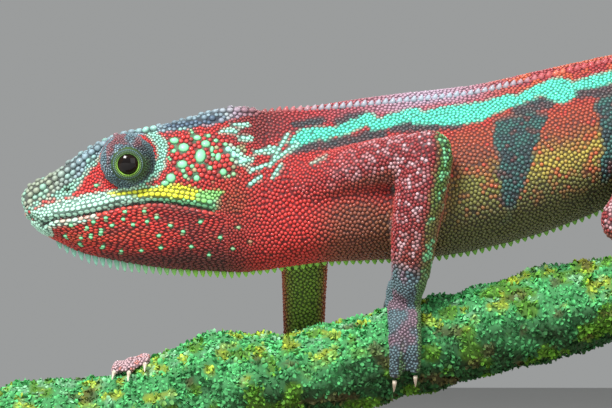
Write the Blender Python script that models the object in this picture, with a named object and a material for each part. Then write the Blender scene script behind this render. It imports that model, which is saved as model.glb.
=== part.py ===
"""A panther chameleon walking down a mossy branch, held on a flat stand by two rods.

Lengths are millimetres until `metres` turns them into Blender's metres. The animal faces -X,
its left side is -Y, +Z is up, and the origin is the middle of the stand's underside.
"""

import math

import bmesh
import bpy
from mathutils import Vector

# ---------------------------------------------------------------- driving dimensions
GAP = 0.3  # between pieces that meet face to face
SNOUT_TIP = -100.4
JAW_HINGE = -60.4
NAPE = -50.0
SHOULDER_CUT = -37.0
LOIN_CUT = -6.0
HIP_CUT = 31.0
VENT = 61.0
TAIL_LENGTH = 200.0
BRANCH_RADIUS = 9.2
BASE_LENGTH, BASE_WIDTH, BASE_HEIGHT, BASE_CORNER = 196.0, 92.0, 10.0, 12.0
ROD_RADIUS, ROD_SIDES = 3.0, 20
ROD_PLACES = (-62.0, 34.0)
RING = 3  # samples between two neighbouring lines of a body section

LEFT, RIGHT = -1.0, 1.0


def metres(point):
    return Vector(point) * 0.001


def through(points, x):
    """Height at x of the smooth curve through (x, height) pairs, level past its ends."""
    if x <= points[0][0]:
        return points[0][1]
    if x >= points[-1][0]:
        return points[-1][1]
    i = max(k for k in range(len(points) - 1) if points[k][0] <= x)
    (x0, y0), (x1, y1) = points[i], points[i + 1]

    def slope(k):
        a, b = points[max(k - 1, 0)], points[min(k + 1, len(points) - 1)]
        return (b[1] - a[1]) / (b[0] - a[0])

    h = x1 - x0
    t = (x - x0) / h
    return (
        (2 * t**3 - 3 * t**2 + 1) * y0
        + (t**3 - 2 * t**2 + t) * h * slope(i)
        + (3 * t**2 - 2 * t**3) * y1
        + (t**3 - t**2) * h * slope(i + 1)
    )


# ---------------------------------------------------------------- body outlines, (x, z)
BACK = (
    (-100.4, 93.2), (-98.8, 95.3), (-94.0, 97.5), (-88.3, 101.4), (-84.1, 103.9),
    (-78.9, 105.7), (-68.4, 107.9), (-57.8, 111.2), (-53.0, 112.0), (-48.2, 110.9),
    (-42.0, 112.2), (-25.1, 115.3), (-4.0, 118.0), (13.0, 121.8), (32.0, 125.4),
    (45.0, 126.4), (61.6, 124.6), (70.0, 123.0),
)  # fmt: skip
BELLY = (
    (-100.4, 92.0), (-99.5, 89.4), (-97.4, 85.9), (-93.8, 84.0), (-88.1, 81.2),
    (-78.6, 79.0), (-68.0, 77.5), (-56.6, 77.0), (-49.3, 77.3), (-39.9, 78.8),
    (-23.8, 79.6), (-14.8, 80.0), (-4.3, 81.7), (12.5, 86.5), (31.5, 94.6),
    (45.0, 101.6), (61.2, 109.2), (70.0, 111.4),
)  # fmt: skip
MOUTH = (
    (-101.5, 84.6), (-98.8, 86.0), (-95.6, 86.9), (-93.1, 88.0), (-88.4, 88.4),
    (-83.2, 89.3), (-78.7, 90.4), (-72.9, 91.2), (-66.0, 90.6), (-60.0, 89.4),
)  # fmt: skip

# Half-widths in a top view, and how far down the section each line runs as a share of its depth.
CREST_WIDTH = (
    (-100.4, 2.2), (-94.0, 3.9), (-88.0, 4.6), (-79.0, 6.2), (-70.0, 6.6),
    (-60.0, 5.0), (-50.0, 2.7), (-25.0, 3.0), (12.0, 3.3), (61.0, 2.9),
)  # fmt: skip
FLANK_WIDTH = (
    (-100.4, 2.8), (-98.8, 3.9), (-94.0, 5.2), (-88.0, 6.3), (-79.0, 8.6), (-70.0, 10.0),
    (-60.0, 10.0), (-50.0, 8.8), (-42.0, 9.6), (-25.0, 11.2), (0.0, 12.0), (15.0, 11.6),
    (32.0, 10.2), (50.0, 8.2), (61.0, 6.4),
)  # fmt: skip
LIP_WIDTH = (
    (-100.4, 2.8), (-98.8, 4.4), (-94.0, 6.0), (-88.0, 7.4), (-79.0, 9.0), (-70.0, 9.8),
    (-60.0, 9.6), (-50.0, 8.8), (-42.0, 9.8), (-25.0, 12.0), (0.0, 13.2), (15.0, 12.6),
    (32.0, 10.4), (50.0, 7.8), (61.0, 6.0),
)  # fmt: skip
JAW_WIDTH = (
    (-100.4, 1.8), (-94.0, 4.0), (-79.0, 6.0), (-60.0, 6.2), (-50.0, 6.0), (-42.0, 7.4),
    (-25.0, 9.0), (0.0, 9.8), (15.0, 9.0), (32.0, 7.0), (50.0, 5.0), (61.0, 4.0),
)  # fmt: skip
CREST_DROP = ((-60.0, 0.0), (-48.0, 1.4), (-30.0, 2.6), (61.0, 2.0))  # millimetres, not a share
ROOF_SAG = ((-98.0, 0.2), (-88.0, 0.7), (-62.0, 0.6), (-48.0, 0.0))
FLANK_SHARE = ((-100.0, 0.42), (-79.0, 0.34), (-60.0, 0.36), (-40.0, 0.42), (61.0, 0.42))
LIP_SHARE = (
    (-100.0, 0.62), (-94.0, 0.66), (-88.0, 0.62), (-79.0, 0.56), (-68.0, 0.57),
    (-60.0, 0.62), (-40.0, 0.68), (61.0, 0.7),
)  # fmt: skip
JAW_SHARE = ((-100.0, 0.9), (-79.0, 0.85), (-60.0, 0.86), (-30.0, 0.9), (61.0, 0.9))
LEAN = ((-62.0, 0.0), (-40.0, -5.0), (-22.0, -11.0), (22.0, -12.0), (48.0, -5.0), (61.0, 0.0))


def lean(x, point):
    """The trunk leans in degrees about its own middle, belly towards the left."""
    angle = math.radians(through(LEAN, x))
    middle = (through(BACK, x) + through(BELLY, x)) / 2
    y, z = point.y, point.z - middle
    return Vector((
        point.x,
        y * math.cos(angle) - z * math.sin(angle),
        middle + y * math.sin(angle) + z * math.cos(angle),
    ))  # fmt: skip


def around(points, samples):
    """A closed smooth curve through points, with this many samples for each span."""
    ring = []
    n = len(points)
    for i in range(n):
        p0, p1, p2, p3 = (points[(i + k - 1) % n] for k in range(4))
        for k in range(samples):
            t = k / samples
            ring.append(
                0.5 * (2 * p1 + (p2 - p0) * t + (2 * p0 - 5 * p1 + 4 * p2 - p3) * t**2
                       + (3 * p1 - p0 - 3 * p2 + p3) * t**3)
            )  # fmt: skip
    return ring


def body_section(x, grow=0.0):
    """The closed outline of head, neck or trunk at x, grown outwards by grow."""
    top, bottom = through(BACK, x) + grow, through(BELLY, x) - grow
    depth = top - bottom
    side = [
        Vector((x, through(CREST_WIDTH, x) + grow, top - through(CREST_DROP, x))),
        Vector((x, through(FLANK_WIDTH, x) + grow, top - depth * through(FLANK_SHARE, x))),
        Vector((x, through(LIP_WIDTH, x) + grow, top - depth * through(LIP_SHARE, x))),
        Vector((x, through(JAW_WIDTH, x) + grow, top - depth * through(JAW_SHARE, x))),
    ]
    other = [Vector((p.x, -p.y, p.z)) for p in reversed(side)]
    lines = [
        Vector((x, 0, top - through(ROOF_SAG, x))), *side, Vector((x, 0, bottom)), *other
    ]  # fmt: skip
    return [lean(x, p) for p in around(lines, RING)]


def steps(start, end, pitch):
    """Even steps from start to end, about pitch apart."""
    count = max(1, round(abs(end - start) / pitch))
    return [start + (end - start) * i / count for i in range(count + 1)]


# ---------------------------------------------------------------- finishes
COLOURS = {
    "head_skin": ((0.50, 0.05, 0.05, 1), 0.45),
    "throat_skin": ((0.55, 0.03, 0.03, 1), 0.45),
    "eyelid_skin": ((0.25, 0.38, 0.42, 1), 0.45),
    "eye_gloss": ((0.02, 0.02, 0.01, 1), 0.08),
    "body_skin": ((0.35, 0.12, 0.05, 1), 0.45),
    "leg_skin": ((0.32, 0.16, 0.14, 1), 0.45),
    "tail_skin": ((0.20, 0.30, 0.20, 1), 0.45),
    "claw_horn": ((0.45, 0.40, 0.30, 1), 0.35),
    "branch_moss": ((0.20, 0.42, 0.08, 1), 0.90),
    "stand_wood": ((0.05, 0.04, 0.035, 1), 0.40),
    "rod_steel": ((0.55, 0.55, 0.56, 1), 0.30),
}


def finish(slot):
    if slot in bpy.data.materials:
        return bpy.data.materials[slot]
    colour, roughness = COLOURS[slot]
    material = bpy.data.materials.new(slot)
    material.use_nodes = True
    shader = material.node_tree.nodes["Principled BSDF"]
    shader.inputs["Base Color"].default_value = colour
    shader.inputs["Roughness"].default_value = roughness
    shader.inputs["Metallic"].default_value = 1.0 if slot == "rod_steel" else 0.0
    return material


# ---------------------------------------------------------------- solids
def as_object(name, bm, slot):
    bmesh.ops.recalc_face_normals(bm, faces=bm.faces)
    mesh = bpy.data.meshes.new(name)
    bm.to_mesh(mesh)
    bm.free()
    mesh.shade_smooth()
    mesh.set_sharp_from_angle(angle=math.radians(50))
    obj = bpy.data.objects.new(name, mesh)
    bpy.context.scene.collection.objects.link(obj)
    mesh.materials.append(finish(slot))
    return obj


def loft(name, sections, slot):
    """A closed solid: the first section's face is extruded to each next section in turn."""
    bm = bmesh.new()
    place = bm.verts.layers.int.new("place")
    verts = [bm.verts.new(metres(p)) for p in sections[0]]
    for i, v in enumerate(verts):
        v[place] = i
    cap = bm.faces.new(verts)
    for section in sections[1:]:
        made = bmesh.ops.extrude_face_region(bm, geom=[cap, *cap.edges])["geom"]
        cap = next(g for g in made if isinstance(g, bmesh.types.BMFace))
        for v in cap.verts:
            v.co = metres(section[v[place]])
    return as_object(name, bm, slot)


def tool(obj):
    """Marks a shape that only cuts others."""
    obj.hide_render = True
    obj.display_type = "WIRE"
    return obj


def boolean(obj, other, operation):
    modifier = obj.modifiers.new(operation.title(), "BOOLEAN")
    modifier.operation = operation
    modifier.solver = "EXACT"
    modifier.object = other


def carry(route, first_side):
    """(point, side, up) along route, with the side direction carried along without twist."""
    frames = []
    side = Vector(first_side)
    for i, p in enumerate(route):
        ahead = (route[min(i + 1, len(route) - 1)] - route[max(i - 1, 0)]).normalized()
        side = (side - ahead * side.dot(ahead)).normalized()
        frames.append((p, side, ahead.cross(side)))
    return frames


def oval(frame, across, deep, sides):
    """A ring of points: across is the half-width along the frame's side, deep along its up."""
    centre, side, up = frame
    turns = [2 * math.pi * k / sides for k in range(sides)]
    return [centre + side * across * math.cos(a) + up * deep * math.sin(a) for a in turns]


def tube(name, route, sizes, sides, slot, first_side=(0, 1, 0)):
    """A solid round route, whose half-widths are (across, deep) at each of its points."""
    frames = carry(route, first_side)
    return loft(name, [oval(f, a, d, sides) for f, (a, d) in zip(frames, sizes)], slot)


def bent(points, count):
    """Points along the smooth curve through a few points, from the first to the last."""
    knots = [2 * points[0] - points[1], *points, 2 * points[-1] - points[-2]]
    route = []
    for i in range(1, len(knots) - 2):
        p0, p1, p2, p3 = knots[i - 1 : i + 3]
        for k in range(count):
            t = k / count
            route.append(
                0.5 * (2 * p1 + (p2 - p0) * t + (2 * p0 - 5 * p1 + 4 * p2 - p3) * t**2
                       + (3 * p1 - p0 - 3 * p2 + p3) * t**3)
            )  # fmt: skip
    return [*route, points[-1]]


# ---------------------------------------------------------------- the branch, cut to length
BRANCH_LINE = (
    (-108.5, 43.6), (-84.0, 46.6), (-73.0, 49.0), (-62.8, 52.4), (-38.0, 57.0),
    (-12.8, 62.6), (12.0, 68.6), (41.7, 75.4), (77.5, 83.4),
)  # fmt: skip
BRANCH_SIDES = 16
MOSS_LUMPS = (  # place along x, angle from the top in degrees, height, reach
    (-61.0, 10.0, 2.2, 4.5), (-8.0, 35.0, 1.8, 5.0), (9.0, 10.0, 1.8, 3.5),
    (-98.0, -20.0, 1.0, 5.0), (20.0, 80.0, 1.4, 6.0), (60.0, 120.0, 1.6, 6.0),
)  # fmt: skip


def branch_centre(x):
    return Vector((x, 0, through(BRANCH_LINE, x)))


def branch_radius(x, angle):
    """The mossy surface's distance from the branch's centre, at angle from the top."""
    radius = BRANCH_RADIUS * (1 + 0.03 * math.sin(3 * angle + 0.08 * x) + 0.025 * math.sin(0.17 * x))
    for place, turn, height, reach in MOSS_LUMPS:
        off = math.remainder(angle - math.radians(turn), 2 * math.pi) * BRANCH_RADIUS
        radius += height * math.exp(-((x - place) ** 2 + off**2) / reach**2)
    return radius


def branch_ring(x, grow=0.0):
    ring = []
    for k in range(BRANCH_SIDES):
        angle = 2 * math.pi * k / BRANCH_SIDES
        radius = branch_radius(x, angle) + grow
        ring.append(
            branch_centre(x) + Vector((0, -radius * math.sin(angle), radius * math.cos(angle)))
        )
    return ring


def branch(name, grow, slot="branch_moss"):
    start, end = BRANCH_LINE[0][0] - grow, BRANCH_LINE[-1][0] + grow
    return loft(name, [branch_ring(x, grow) for x in steps(start, end, 7.0)], slot)


# ---------------------------------------------------------------- head, neck and trunk
def trunk_piece(name, start, end, pitch, slot):
    return loft(name, [body_section(x) for x in steps(start, end, pitch)], slot)


def snout_sections(end, grow=0.0):
    """Sections from the blunt snout tip back to end, closest where the snout rounds off."""
    first = [SNOUT_TIP, SNOUT_TIP + 0.7, SNOUT_TIP + 1.8, SNOUT_TIP + 3.4]
    return [body_section(x, grow) for x in first + steps(-94.4, end, 2.9)]


def prism(name, outline, half_width=30.0):
    """A block with this outline in x and z, standing across the whole head."""
    rows = [[Vector((x, y, z)) for x, z in outline] for y in (-half_width, half_width)]
    return tool(loft(name, rows, "throat_skin"))


def below_mouth(name, back, lift):
    """Everything under the mouth line and in front of the jaw's hinge."""
    line = [(x, z + lift) for x, z in MOUTH if x < back - 1.0]
    line.append((back, through(MOUTH, back) + lift))
    return prism(name, [*line, (back, 60.0), (-120.0, 60.0), (-120.0, line[0][1])])


def make_head():
    head = loft("head", snout_sections(NAPE), "head_skin")
    jaw = loft("jaw", snout_sections(JAW_HINGE + 3.0), "throat_skin")
    boolean(head, below_mouth("jaw_room", JAW_HINGE + GAP / 2, GAP / 2), "DIFFERENCE")
    boolean(jaw, below_mouth("jaw_block", JAW_HINGE - GAP / 2, -GAP / 2), "INTERSECT")
    return head


def make_trunk():
    pieces = (
        ("neck", NAPE, SHOULDER_CUT), ("chest", SHOULDER_CUT, LOIN_CUT),
        ("belly", LOIN_CUT, HIP_CUT), ("pelvis", HIP_CUT, VENT),
    )  # fmt: skip
    for name, start, end in pieces:
        trunk_piece(name, start + GAP, end, 7.4, "body_skin")


# ---------------------------------------------------------------- eyes
EYE_CENTRE = Vector((-77.6, 8.2, 100.0))
TURRET = Vector((6.2, 6.4, 6.0))  # half-sizes of the scaly dome that carries the lid
GAZE = Vector((0.12, 0.955, -0.27))  # outwards, and a little down
EYEBALL_RADIUS, EYEBALL_DEPTH, LID_OPENING = 2.7, 4.05, 2.05


def ball(name, centre, radii, slot, rings=10, sides=18, axis=None):
    """An oval ball, its poles on axis."""
    bm = bmesh.new()
    bmesh.ops.create_uvsphere(bm, u_segments=sides, v_segments=rings, radius=1.0)
    if axis is not None:
        turn = axis.to_track_quat("Z", "Y").to_matrix()
        bmesh.ops.rotate(bm, cent=(0, 0, 0), matrix=turn, verts=bm.verts)
    for v in bm.verts:
        v.co = metres(centre + Vector(a * b for a, b in zip(v.co, radii)))
    return as_object(name, bm, slot)


def rod(name, start, end, radius, sides, slot):
    return tube(name, [start, end], [(radius, radius)] * 2, sides, slot, (0.0, 1.0, 0.001))


def make_eye(side, where, head_room):
    centre = Vector((EYE_CENTRE.x, side * EYE_CENTRE.y, EYE_CENTRE.z))
    gaze = Vector((GAZE.x, side * GAZE.y, GAZE.z)).normalized()
    turret = ball(f"eyelid_{where}", centre, TURRET, "eyelid_skin", 9, 18, gaze)
    boolean(turret, head_room, "DIFFERENCE")
    deep = centre + gaze * EYEBALL_DEPTH
    size = Vector((EYEBALL_RADIUS,) * 3)
    room = ball(f"eye_room_{where}", deep, size + Vector((GAP,) * 3), "eyelid_skin", 7, 12, gaze)
    opening = rod(f"lid_opening_{where}", deep, deep + gaze * 5, LID_OPENING, 12, "eyelid_skin")
    for cutter in (room, opening):
        boolean(turret, tool(cutter), "DIFFERENCE")
    ball(f"eye_{where}", deep, size, "eye_gloss", 7, 12, gaze)


# ---------------------------------------------------------------- legs
# Joints run shoulder or hip, elbow or knee, wrist or ankle. Bow is how far the flesh of each
# segment swings out from the straight line. Sizes are radii: root, belly of the muscle, end.
LIMBS = {
    "front_left": {
        "joints": ((-41.0, -5.5, 94.2), (-15.9, -17.4, 100.2), (-19.4, -9.6, 76.0)),
        "upper": (6.2, 5.3, 4.6), "lower": (5.0, 5.1, 4.0),
        "bow": ((0.0, 0.0, 1.0), (-0.6, -1.6, 0.0)), "body": ("upper_arm", "forearm"),
    },
    "front_right": {
        "joints": ((-41.0, 5.5, 94.5), (-41.2, 17.4, 60.0), (-65.5, 14.2, 55.0)),
        "upper": (6.0, 5.0, 4.3), "lower": (4.7, 4.6, 3.5),
        "bow": ((0.0, 1.5, 0.0), (0.0, 0.6, -0.6)), "body": ("upper_arm", "forearm"),
    },
    "hind_left": {
        "joints": ((41.0, -3.0, 110.0), (23.2, -19.4, 86.6), (45.5, -16.8, 82.0)),
        "upper": (6.8, 6.8, 4.9), "lower": (5.3, 5.0, 3.7),
        "bow": ((0.0, -1.0, 0.5), (0.0, -0.5, -0.5)), "body": ("thigh", "shank"),
    },
    "hind_right": {
        "joints": ((42.0, 3.0, 110.5), (34.0, 20.8, 86.0), (56.5, 16.8, 83.5)),
        "upper": (6.8, 6.8, 4.9), "lower": (5.3, 5.0, 3.7),
        "bow": ((0.0, 1.0, 0.5), (0.0, 0.5, -0.5)), "body": ("thigh", "shank"),
    },
}  # fmt: skip
LIMB_SIDES = 12


def muscle(name, start, end, radii, bow, blunt=False, grow=0.0):
    """A tapering bowed piece, rounded where it starts, and rounded or cut square at its end."""
    root, belly, tip = (r + grow for r in radii)
    ahead, bow = (end - start).normalized(), Vector(bow)
    route, sizes = [], []
    for degrees in (-72, -42):
        angle = math.radians(degrees)
        route.append(start + ahead * root * math.sin(angle))
        sizes.append(root * math.cos(angle))
    for k in range(6):
        t = k / 5
        route.append(start.lerp(end, t) + bow * 4 * t * (1 - t))
        sizes.append(through(((0.0, root), (0.45, belly), (1.0, tip)), t))
    for degrees in () if blunt else (42, 72):
        angle = math.radians(degrees)
        route.append(end + ahead * tip * math.sin(angle))
        sizes.append(tip * math.cos(angle))
    return tube(name, route, [(r * 0.95, r * 1.04) for r in sizes], LIMB_SIDES, "leg_skin")


def make_limb(where, limb, body_room, branch_room):
    """Both segments of a limb; gives back the room that the lower one takes up."""
    root, bend, end = (Vector(p) for p in limb["joints"])
    upper, lower = limb["body"]
    top = muscle(f"{upper}_{where}", root, bend, limb["upper"], limb["bow"][0], blunt=True)
    low = muscle(f"{lower}_{where}", bend, end, limb["lower"], limb["bow"][1], blunt=True)
    low_room = muscle(
        f"{lower}_room_{where}", bend, end, limb["lower"], limb["bow"][1], grow=GAP, blunt=True
    )
    for piece, rooms in ((top, (body_room, tool(low_room))), (low, (body_room, branch_room))):
        for room in rooms:
            boolean(piece, room, "DIFFERENCE")
    return low_room


# ---------------------------------------------------------------- feet
# Toes are fused in two opposed bundles that clasp the branch. Angles are from the branch's
# top towards the foot's own side, in degrees; reach is where each bundle's toes end.
FEET = {
    "front_left": {
        "x": -20.6, "side": LEFT, "palm": 22.0, "outer": (2, 116.0), "inner": (3, -86.0), "slant": 0.0,
    },
    "front_right": {
        "x": -77.0, "side": RIGHT, "palm": 60.0, "outer": (2, 146.0), "inner": (3, -34.0), "slant": 0.0,
    },
    "hind_left": {
        "x": 52.5, "side": LEFT, "palm": 70.0, "outer": (3, 160.0), "inner": (2, -36.0), "slant": 0.1,
    },
    "hind_right": {
        "x": 63.5, "side": RIGHT, "palm": 64.0, "outer": (3, 152.0), "inner": (2, -40.0), "slant": 0.1,
    },
}  # fmt: skip
TOE_RADIUS = {2: (2.6, 1.6), 3: (2.1, 1.3)}  # at the root and the tip, by toes in the bundle
TOE_SPACING = {2: 3.7, 3: 2.75}
CLAW_LENGTH, CLAW_RADIUS = 2.9, 0.85
PALM_RADIUS = 4.3


def on_branch(x, side, degrees, height):
    """A point this high over the mossy surface, at an angle from the branch's top."""
    angle = math.radians(degrees)
    radius = branch_radius(x, -angle * side) + height
    return branch_centre(x) + Vector((0, side * radius * math.sin(angle), radius * math.cos(angle)))


def toe(name, foot, degrees, reach, offset, radii, slot="leg_skin"):
    """One toe from the palm round the branch to reach, and the claw that goes on from it."""
    root_radius, tip_radius = radii
    route, sizes = [], []
    for k in range(5):
        share = k / 4
        radius = root_radius + (tip_radius - root_radius) * share
        angle = degrees + (reach - degrees) * share
        x = foot["x"] + offset * (0.72 + 0.4 * share) - foot["slant"] * (angle - foot["palm"]) * 0.1
        route.append(on_branch(x, foot["side"], angle, radius * 0.93))
        sizes.append((radius, radius * 1.02))
    rounding = (route[-1] - route[-2]).normalized() * tip_radius * 0.45
    route.append(route[-1] + rounding)
    sizes.append((tip_radius * 0.72, tip_radius * 0.72))
    return tube(name, route, sizes, 6, slot, (1, 0, 0)), route


def make_claw(name, foot, route):
    """A curved horn cone that leaves the toe's end and hooks down towards the bark."""
    start, ahead = route[-1], (route[-1] - route[-2]).normalized()
    inwards = branch_centre(start.x) - start
    inwards = (inwards - ahead * inwards.dot(ahead)).normalized()
    points, sizes = [], []
    for k in range(4):
        share = k / 3
        points.append(start + ahead * (GAP + CLAW_LENGTH * share) + inwards * 0.9 * share**2)
        radius = CLAW_RADIUS * (1 - 0.86 * share)
        sizes.append((radius * 0.8, radius))
    return tube(name, points, sizes, 5, "claw_horn", (1, 0, 0))


def make_foot(where, rooms):
    foot, limb = FEET[where], LIMBS[where]
    kind = "hand" if where.startswith("front") else "foot"
    wrist = Vector(limb["joints"][2])
    forearm_way = (wrist - Vector(limb["joints"][1])).normalized()
    palm = on_branch(foot["x"], foot["side"], foot["palm"], PALM_RADIUS * 0.86)
    heel = wrist + forearm_way * GAP
    radius = limb["lower"][-1]
    route = bent([heel, heel + forearm_way * 1.2, heel.lerp(palm, 0.6), palm], 2)
    grow = [radius + (PALM_RADIUS - radius) * k / (len(route) - 1) for k in range(len(route))]
    for share in (0.45, 0.8):
        route.append(palm + (palm - heel).normalized() * PALM_RADIUS * share)
        grow.append(PALM_RADIUS * math.sqrt(1 - share**2))
    palm_piece = tube(f"{kind}_{where}", route, [(r * 1.04, r * 0.94) for r in grow], 10, "leg_skin")
    number = 0
    for label in ("outer", "inner"):
        count, reach = foot[label]
        start = foot["palm"] + (-9.0 if label == "outer" else 9.0)
        for k in range(count):
            number += 1
            offset = (k - (count - 1) / 2) * TOE_SPACING[count]
            end = reach - math.copysign(7.0, reach - start) * abs(k - (count - 1) / 2) * (count == 3)
            piece, line = toe(f"{where}_toe_{number}", foot, start, end, offset, TOE_RADIUS[count])
            boolean(palm_piece, tool(piece), "UNION")
            make_claw(f"claw_{where}_{number}", foot, line)
    for room in rooms:
        boolean(palm_piece, room, "DIFFERENCE")


# ---------------------------------------------------------------- tail
TAIL_START = Vector((VENT + GAP, 0, 117.0))
TAIL_SLOPE = 0.0
TAIL_HALF_HEIGHT = (
    (0.0, 7.6), (12.0, 6.3), (30.0, 5.1), (60.0, 4.1), (95.0, 3.2), (130.0, 2.4), (165.0, 1.7), (200.0, 1.0)
)  # fmt: skip
TAIL_FLATNESS = 0.84
COIL_START, COIL_EASE, COIL_RADIUS, COIL_TIGHTENING = 8.0, 46.0, 20.5, 0.092
TAIL_PIECES = (0.0, 30.0, 62.0, 90.0, 118.0, 150.0, TAIL_LENGTH)


def tail_line():
    """(distance, point, heading) every half millimetre of a coil that tightens towards its end."""
    pitch, heading, point, line = 0.5, TAIL_SLOPE, TAIL_START.copy(), []
    for i in range(int(TAIL_LENGTH / pitch) + 1):
        s = i * pitch
        line.append((s, point.copy(), heading))
        ease = min(max((s - COIL_START) / COIL_EASE, 0.0), 1.0)
        radius = COIL_RADIUS - COIL_TIGHTENING * max(s - COIL_START - COIL_EASE / 2, 0.0)
        heading -= pitch * ease**2 * (3 - 2 * ease) / radius
        point += Vector((math.cos(heading), 0, math.sin(heading))) * pitch
    return line


def tail_section(line, distance, sides):
    s, point, heading = min(line, key=lambda entry: abs(entry[0] - distance))
    up = Vector((-math.sin(heading), 0, math.cos(heading)))
    height = through(TAIL_HALF_HEIGHT, s)
    return oval((point, Vector((0, 1, 0)), up), height * TAIL_FLATNESS, height, sides)


def make_tail():
    line = tail_line()
    for number, (start, end) in enumerate(zip(TAIL_PIECES, TAIL_PIECES[1:]), 1):
        thick = start < 80
        places = steps(start + 0.5 * (number > 1), end, 5.2 if thick else 3.8)
        rings = [tail_section(line, s, 12 if thick else 8) for s in places]
        loft(f"tail_{number}", rings, "tail_skin")


# ---------------------------------------------------------------- stand
def make_stand(branch_room):
    bm = bmesh.new()
    bmesh.ops.create_cube(bm, size=1.0)
    for v in bm.verts:
        size = (BASE_LENGTH, BASE_WIDTH, BASE_HEIGHT)
        v.co = metres(Vector(a * b for a, b in zip(v.co, size)) + Vector((0, 0, BASE_HEIGHT / 2)))
    upright = [e for e in bm.edges if abs(e.verts[0].co.z - e.verts[1].co.z) > 0.001]
    bmesh.ops.bevel(
        bm, geom=upright, offset=BASE_CORNER * 0.001, affect="EDGES", segments=5, profile=0.5, material=-1
    )  # fmt: skip
    rim = [e for e in bm.edges if all(v.co.z > BASE_HEIGHT * 0.0009 for v in e.verts)]
    bmesh.ops.bevel(bm, geom=rim, offset=0.0015, affect="EDGES", segments=2, profile=0.5, material=-1)
    as_object("stand_base", bm, "stand_wood")
    for label, x in zip(("front", "rear"), ROD_PLACES):
        foot = Vector((x, 0, BASE_HEIGHT + GAP))
        post = rod(f"stand_rod_{label}", foot, branch_centre(x), ROD_RADIUS, ROD_SIDES, "rod_steel")
        boolean(post, branch_room, "DIFFERENCE")


def main():
    for obj in list(bpy.data.objects):
        bpy.data.objects.remove(obj)
    branch("perch", 0.0)
    branch_room = tool(branch("branch_room", GAP))
    body_room = tool(
        loft("body_room", snout_sections(-52.0, GAP) + [body_section(x, GAP) for x in steps(-48.0, VENT + 4, 4.6)],
             "body_skin")
    )  # fmt: skip
    make_head()
    make_trunk()
    for side, where in ((LEFT, "left"), (RIGHT, "right")):
        make_eye(side, where, body_room)
    for where, limb in LIMBS.items():
        low_room = make_limb(where, limb, body_room, branch_room)
        make_foot(where, (branch_room, low_room))
    make_tail()
    make_stand(branch_room)


main()
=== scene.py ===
"""A still panther chameleon on a cut length of mossy branch, held by a plain stand.

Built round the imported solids, in metres with +Z up. Points worked on in numpy are millimetres.
The animal faces -X and its left side is -Y.
"""

import math

import bmesh
import bpy
import numpy as np
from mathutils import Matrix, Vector
from mathutils.bvhtree import BVHTree


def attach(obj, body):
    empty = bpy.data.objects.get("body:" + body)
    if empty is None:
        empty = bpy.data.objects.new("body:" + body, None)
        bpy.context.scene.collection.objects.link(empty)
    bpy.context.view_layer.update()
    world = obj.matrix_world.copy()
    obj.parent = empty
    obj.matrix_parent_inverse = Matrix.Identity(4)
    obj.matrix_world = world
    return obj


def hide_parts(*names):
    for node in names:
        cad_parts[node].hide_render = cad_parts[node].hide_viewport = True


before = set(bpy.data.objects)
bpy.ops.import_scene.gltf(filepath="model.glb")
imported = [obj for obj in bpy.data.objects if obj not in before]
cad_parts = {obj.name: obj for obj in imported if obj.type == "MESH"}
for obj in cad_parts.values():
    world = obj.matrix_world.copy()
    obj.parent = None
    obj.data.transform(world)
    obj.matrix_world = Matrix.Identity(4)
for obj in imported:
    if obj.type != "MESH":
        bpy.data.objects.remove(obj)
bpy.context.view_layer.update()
scene = bpy.context.scene

# ---------------------------------------------------------------- camera
# It stands low beside the branch, square to the animal's flank and a little below its eye,
# looking up by a few degrees through a long lens.
CAMERA_AIM = (-0.04074, 0.0, 0.09156)
CAMERA_DISTANCE, CAMERA_PITCH = 0.400, math.radians(5.0)
camera = bpy.data.objects.new("camera", bpy.data.cameras.new("camera"))
camera.data.lens = 112.04
camera.data.sensor_width = 36.0
camera.data.clip_start = 0.01
camera.rotation_euler = (math.pi / 2 + CAMERA_PITCH, 0, 0)
looking = Vector((0, math.cos(CAMERA_PITCH), math.sin(CAMERA_PITCH)))
camera.location = Vector(CAMERA_AIM) - looking * CAMERA_DISTANCE
scene.collection.objects.link(camera)
scene.camera = camera

# ---------------------------------------------------------------- hide
# One unbroken skin over head, body, limbs and tail, with folds and lips but no scales yet.
# It lies under the solids' surface by the scales' height, so that their tips reach it.
FLESH = (
    "head", "jaw", "neck", "chest", "belly", "pelvis", "eyelid", "upper", "forearm", "hand",
    "thigh", "shank", "foot", "tail",
)  # fmt: skip
SCALE_DEPTH = 0.26
SWELL = 0.28  # closes the thin cuts between the solids before the skin is drawn over them
SKIN_GRAIN = 0.63
MOUTH = np.array([
    (-101.5, 85.2), (-98.0, 88.6), (-95.3, 86.8), (-93.0, 87.9), (-88.3, 88.3), (-83.1, 89.3),
    (-78.7, 90.4), (-72.8, 91.1), (-69.4, 91.0), (-64.6, 90.3), (-60.0, 89.4),
])  # fmt: skip
EYE = np.array([-77.6, 8.2, 100.0])  # the right eye's turret; the left one mirrors it
GAZE = np.array([0.12, 0.955, -0.27]) / np.linalg.norm([0.12, 0.955, -0.27])
EYEBALL_DEPTH = 4.05
NOSTRIL = np.array([-90.3, 94.1])
SIDES = (-1.0, 1.0)  # left and right


def mirrored(vector, side):
    return vector * np.array([1.0, side, 1.0])


def merged_solids(names, swell=0.0):
    """One bmesh of these solids' surfaces, grown outwards by swell millimetres."""
    bm = bmesh.new()
    for name in names:
        bm.from_mesh(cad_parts[name].data)
    bmesh.ops.remove_doubles(bm, verts=bm.verts, dist=1e-6)
    bm.normal_update()
    moves = [v.normal * swell * 0.001 for v in bm.verts]
    for v, move in zip(bm.verts, moves):
        v.co += move
    return bm


def new_piece(name, bm):
    """An object at the origin with the bmesh as its smooth-shaded mesh."""
    mesh = bpy.data.meshes.new(name)
    bm.to_mesh(mesh)
    bm.free()
    mesh.shade_smooth()
    piece = bpy.data.objects.new(name, mesh)
    scene.collection.objects.link(piece)
    return piece


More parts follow.
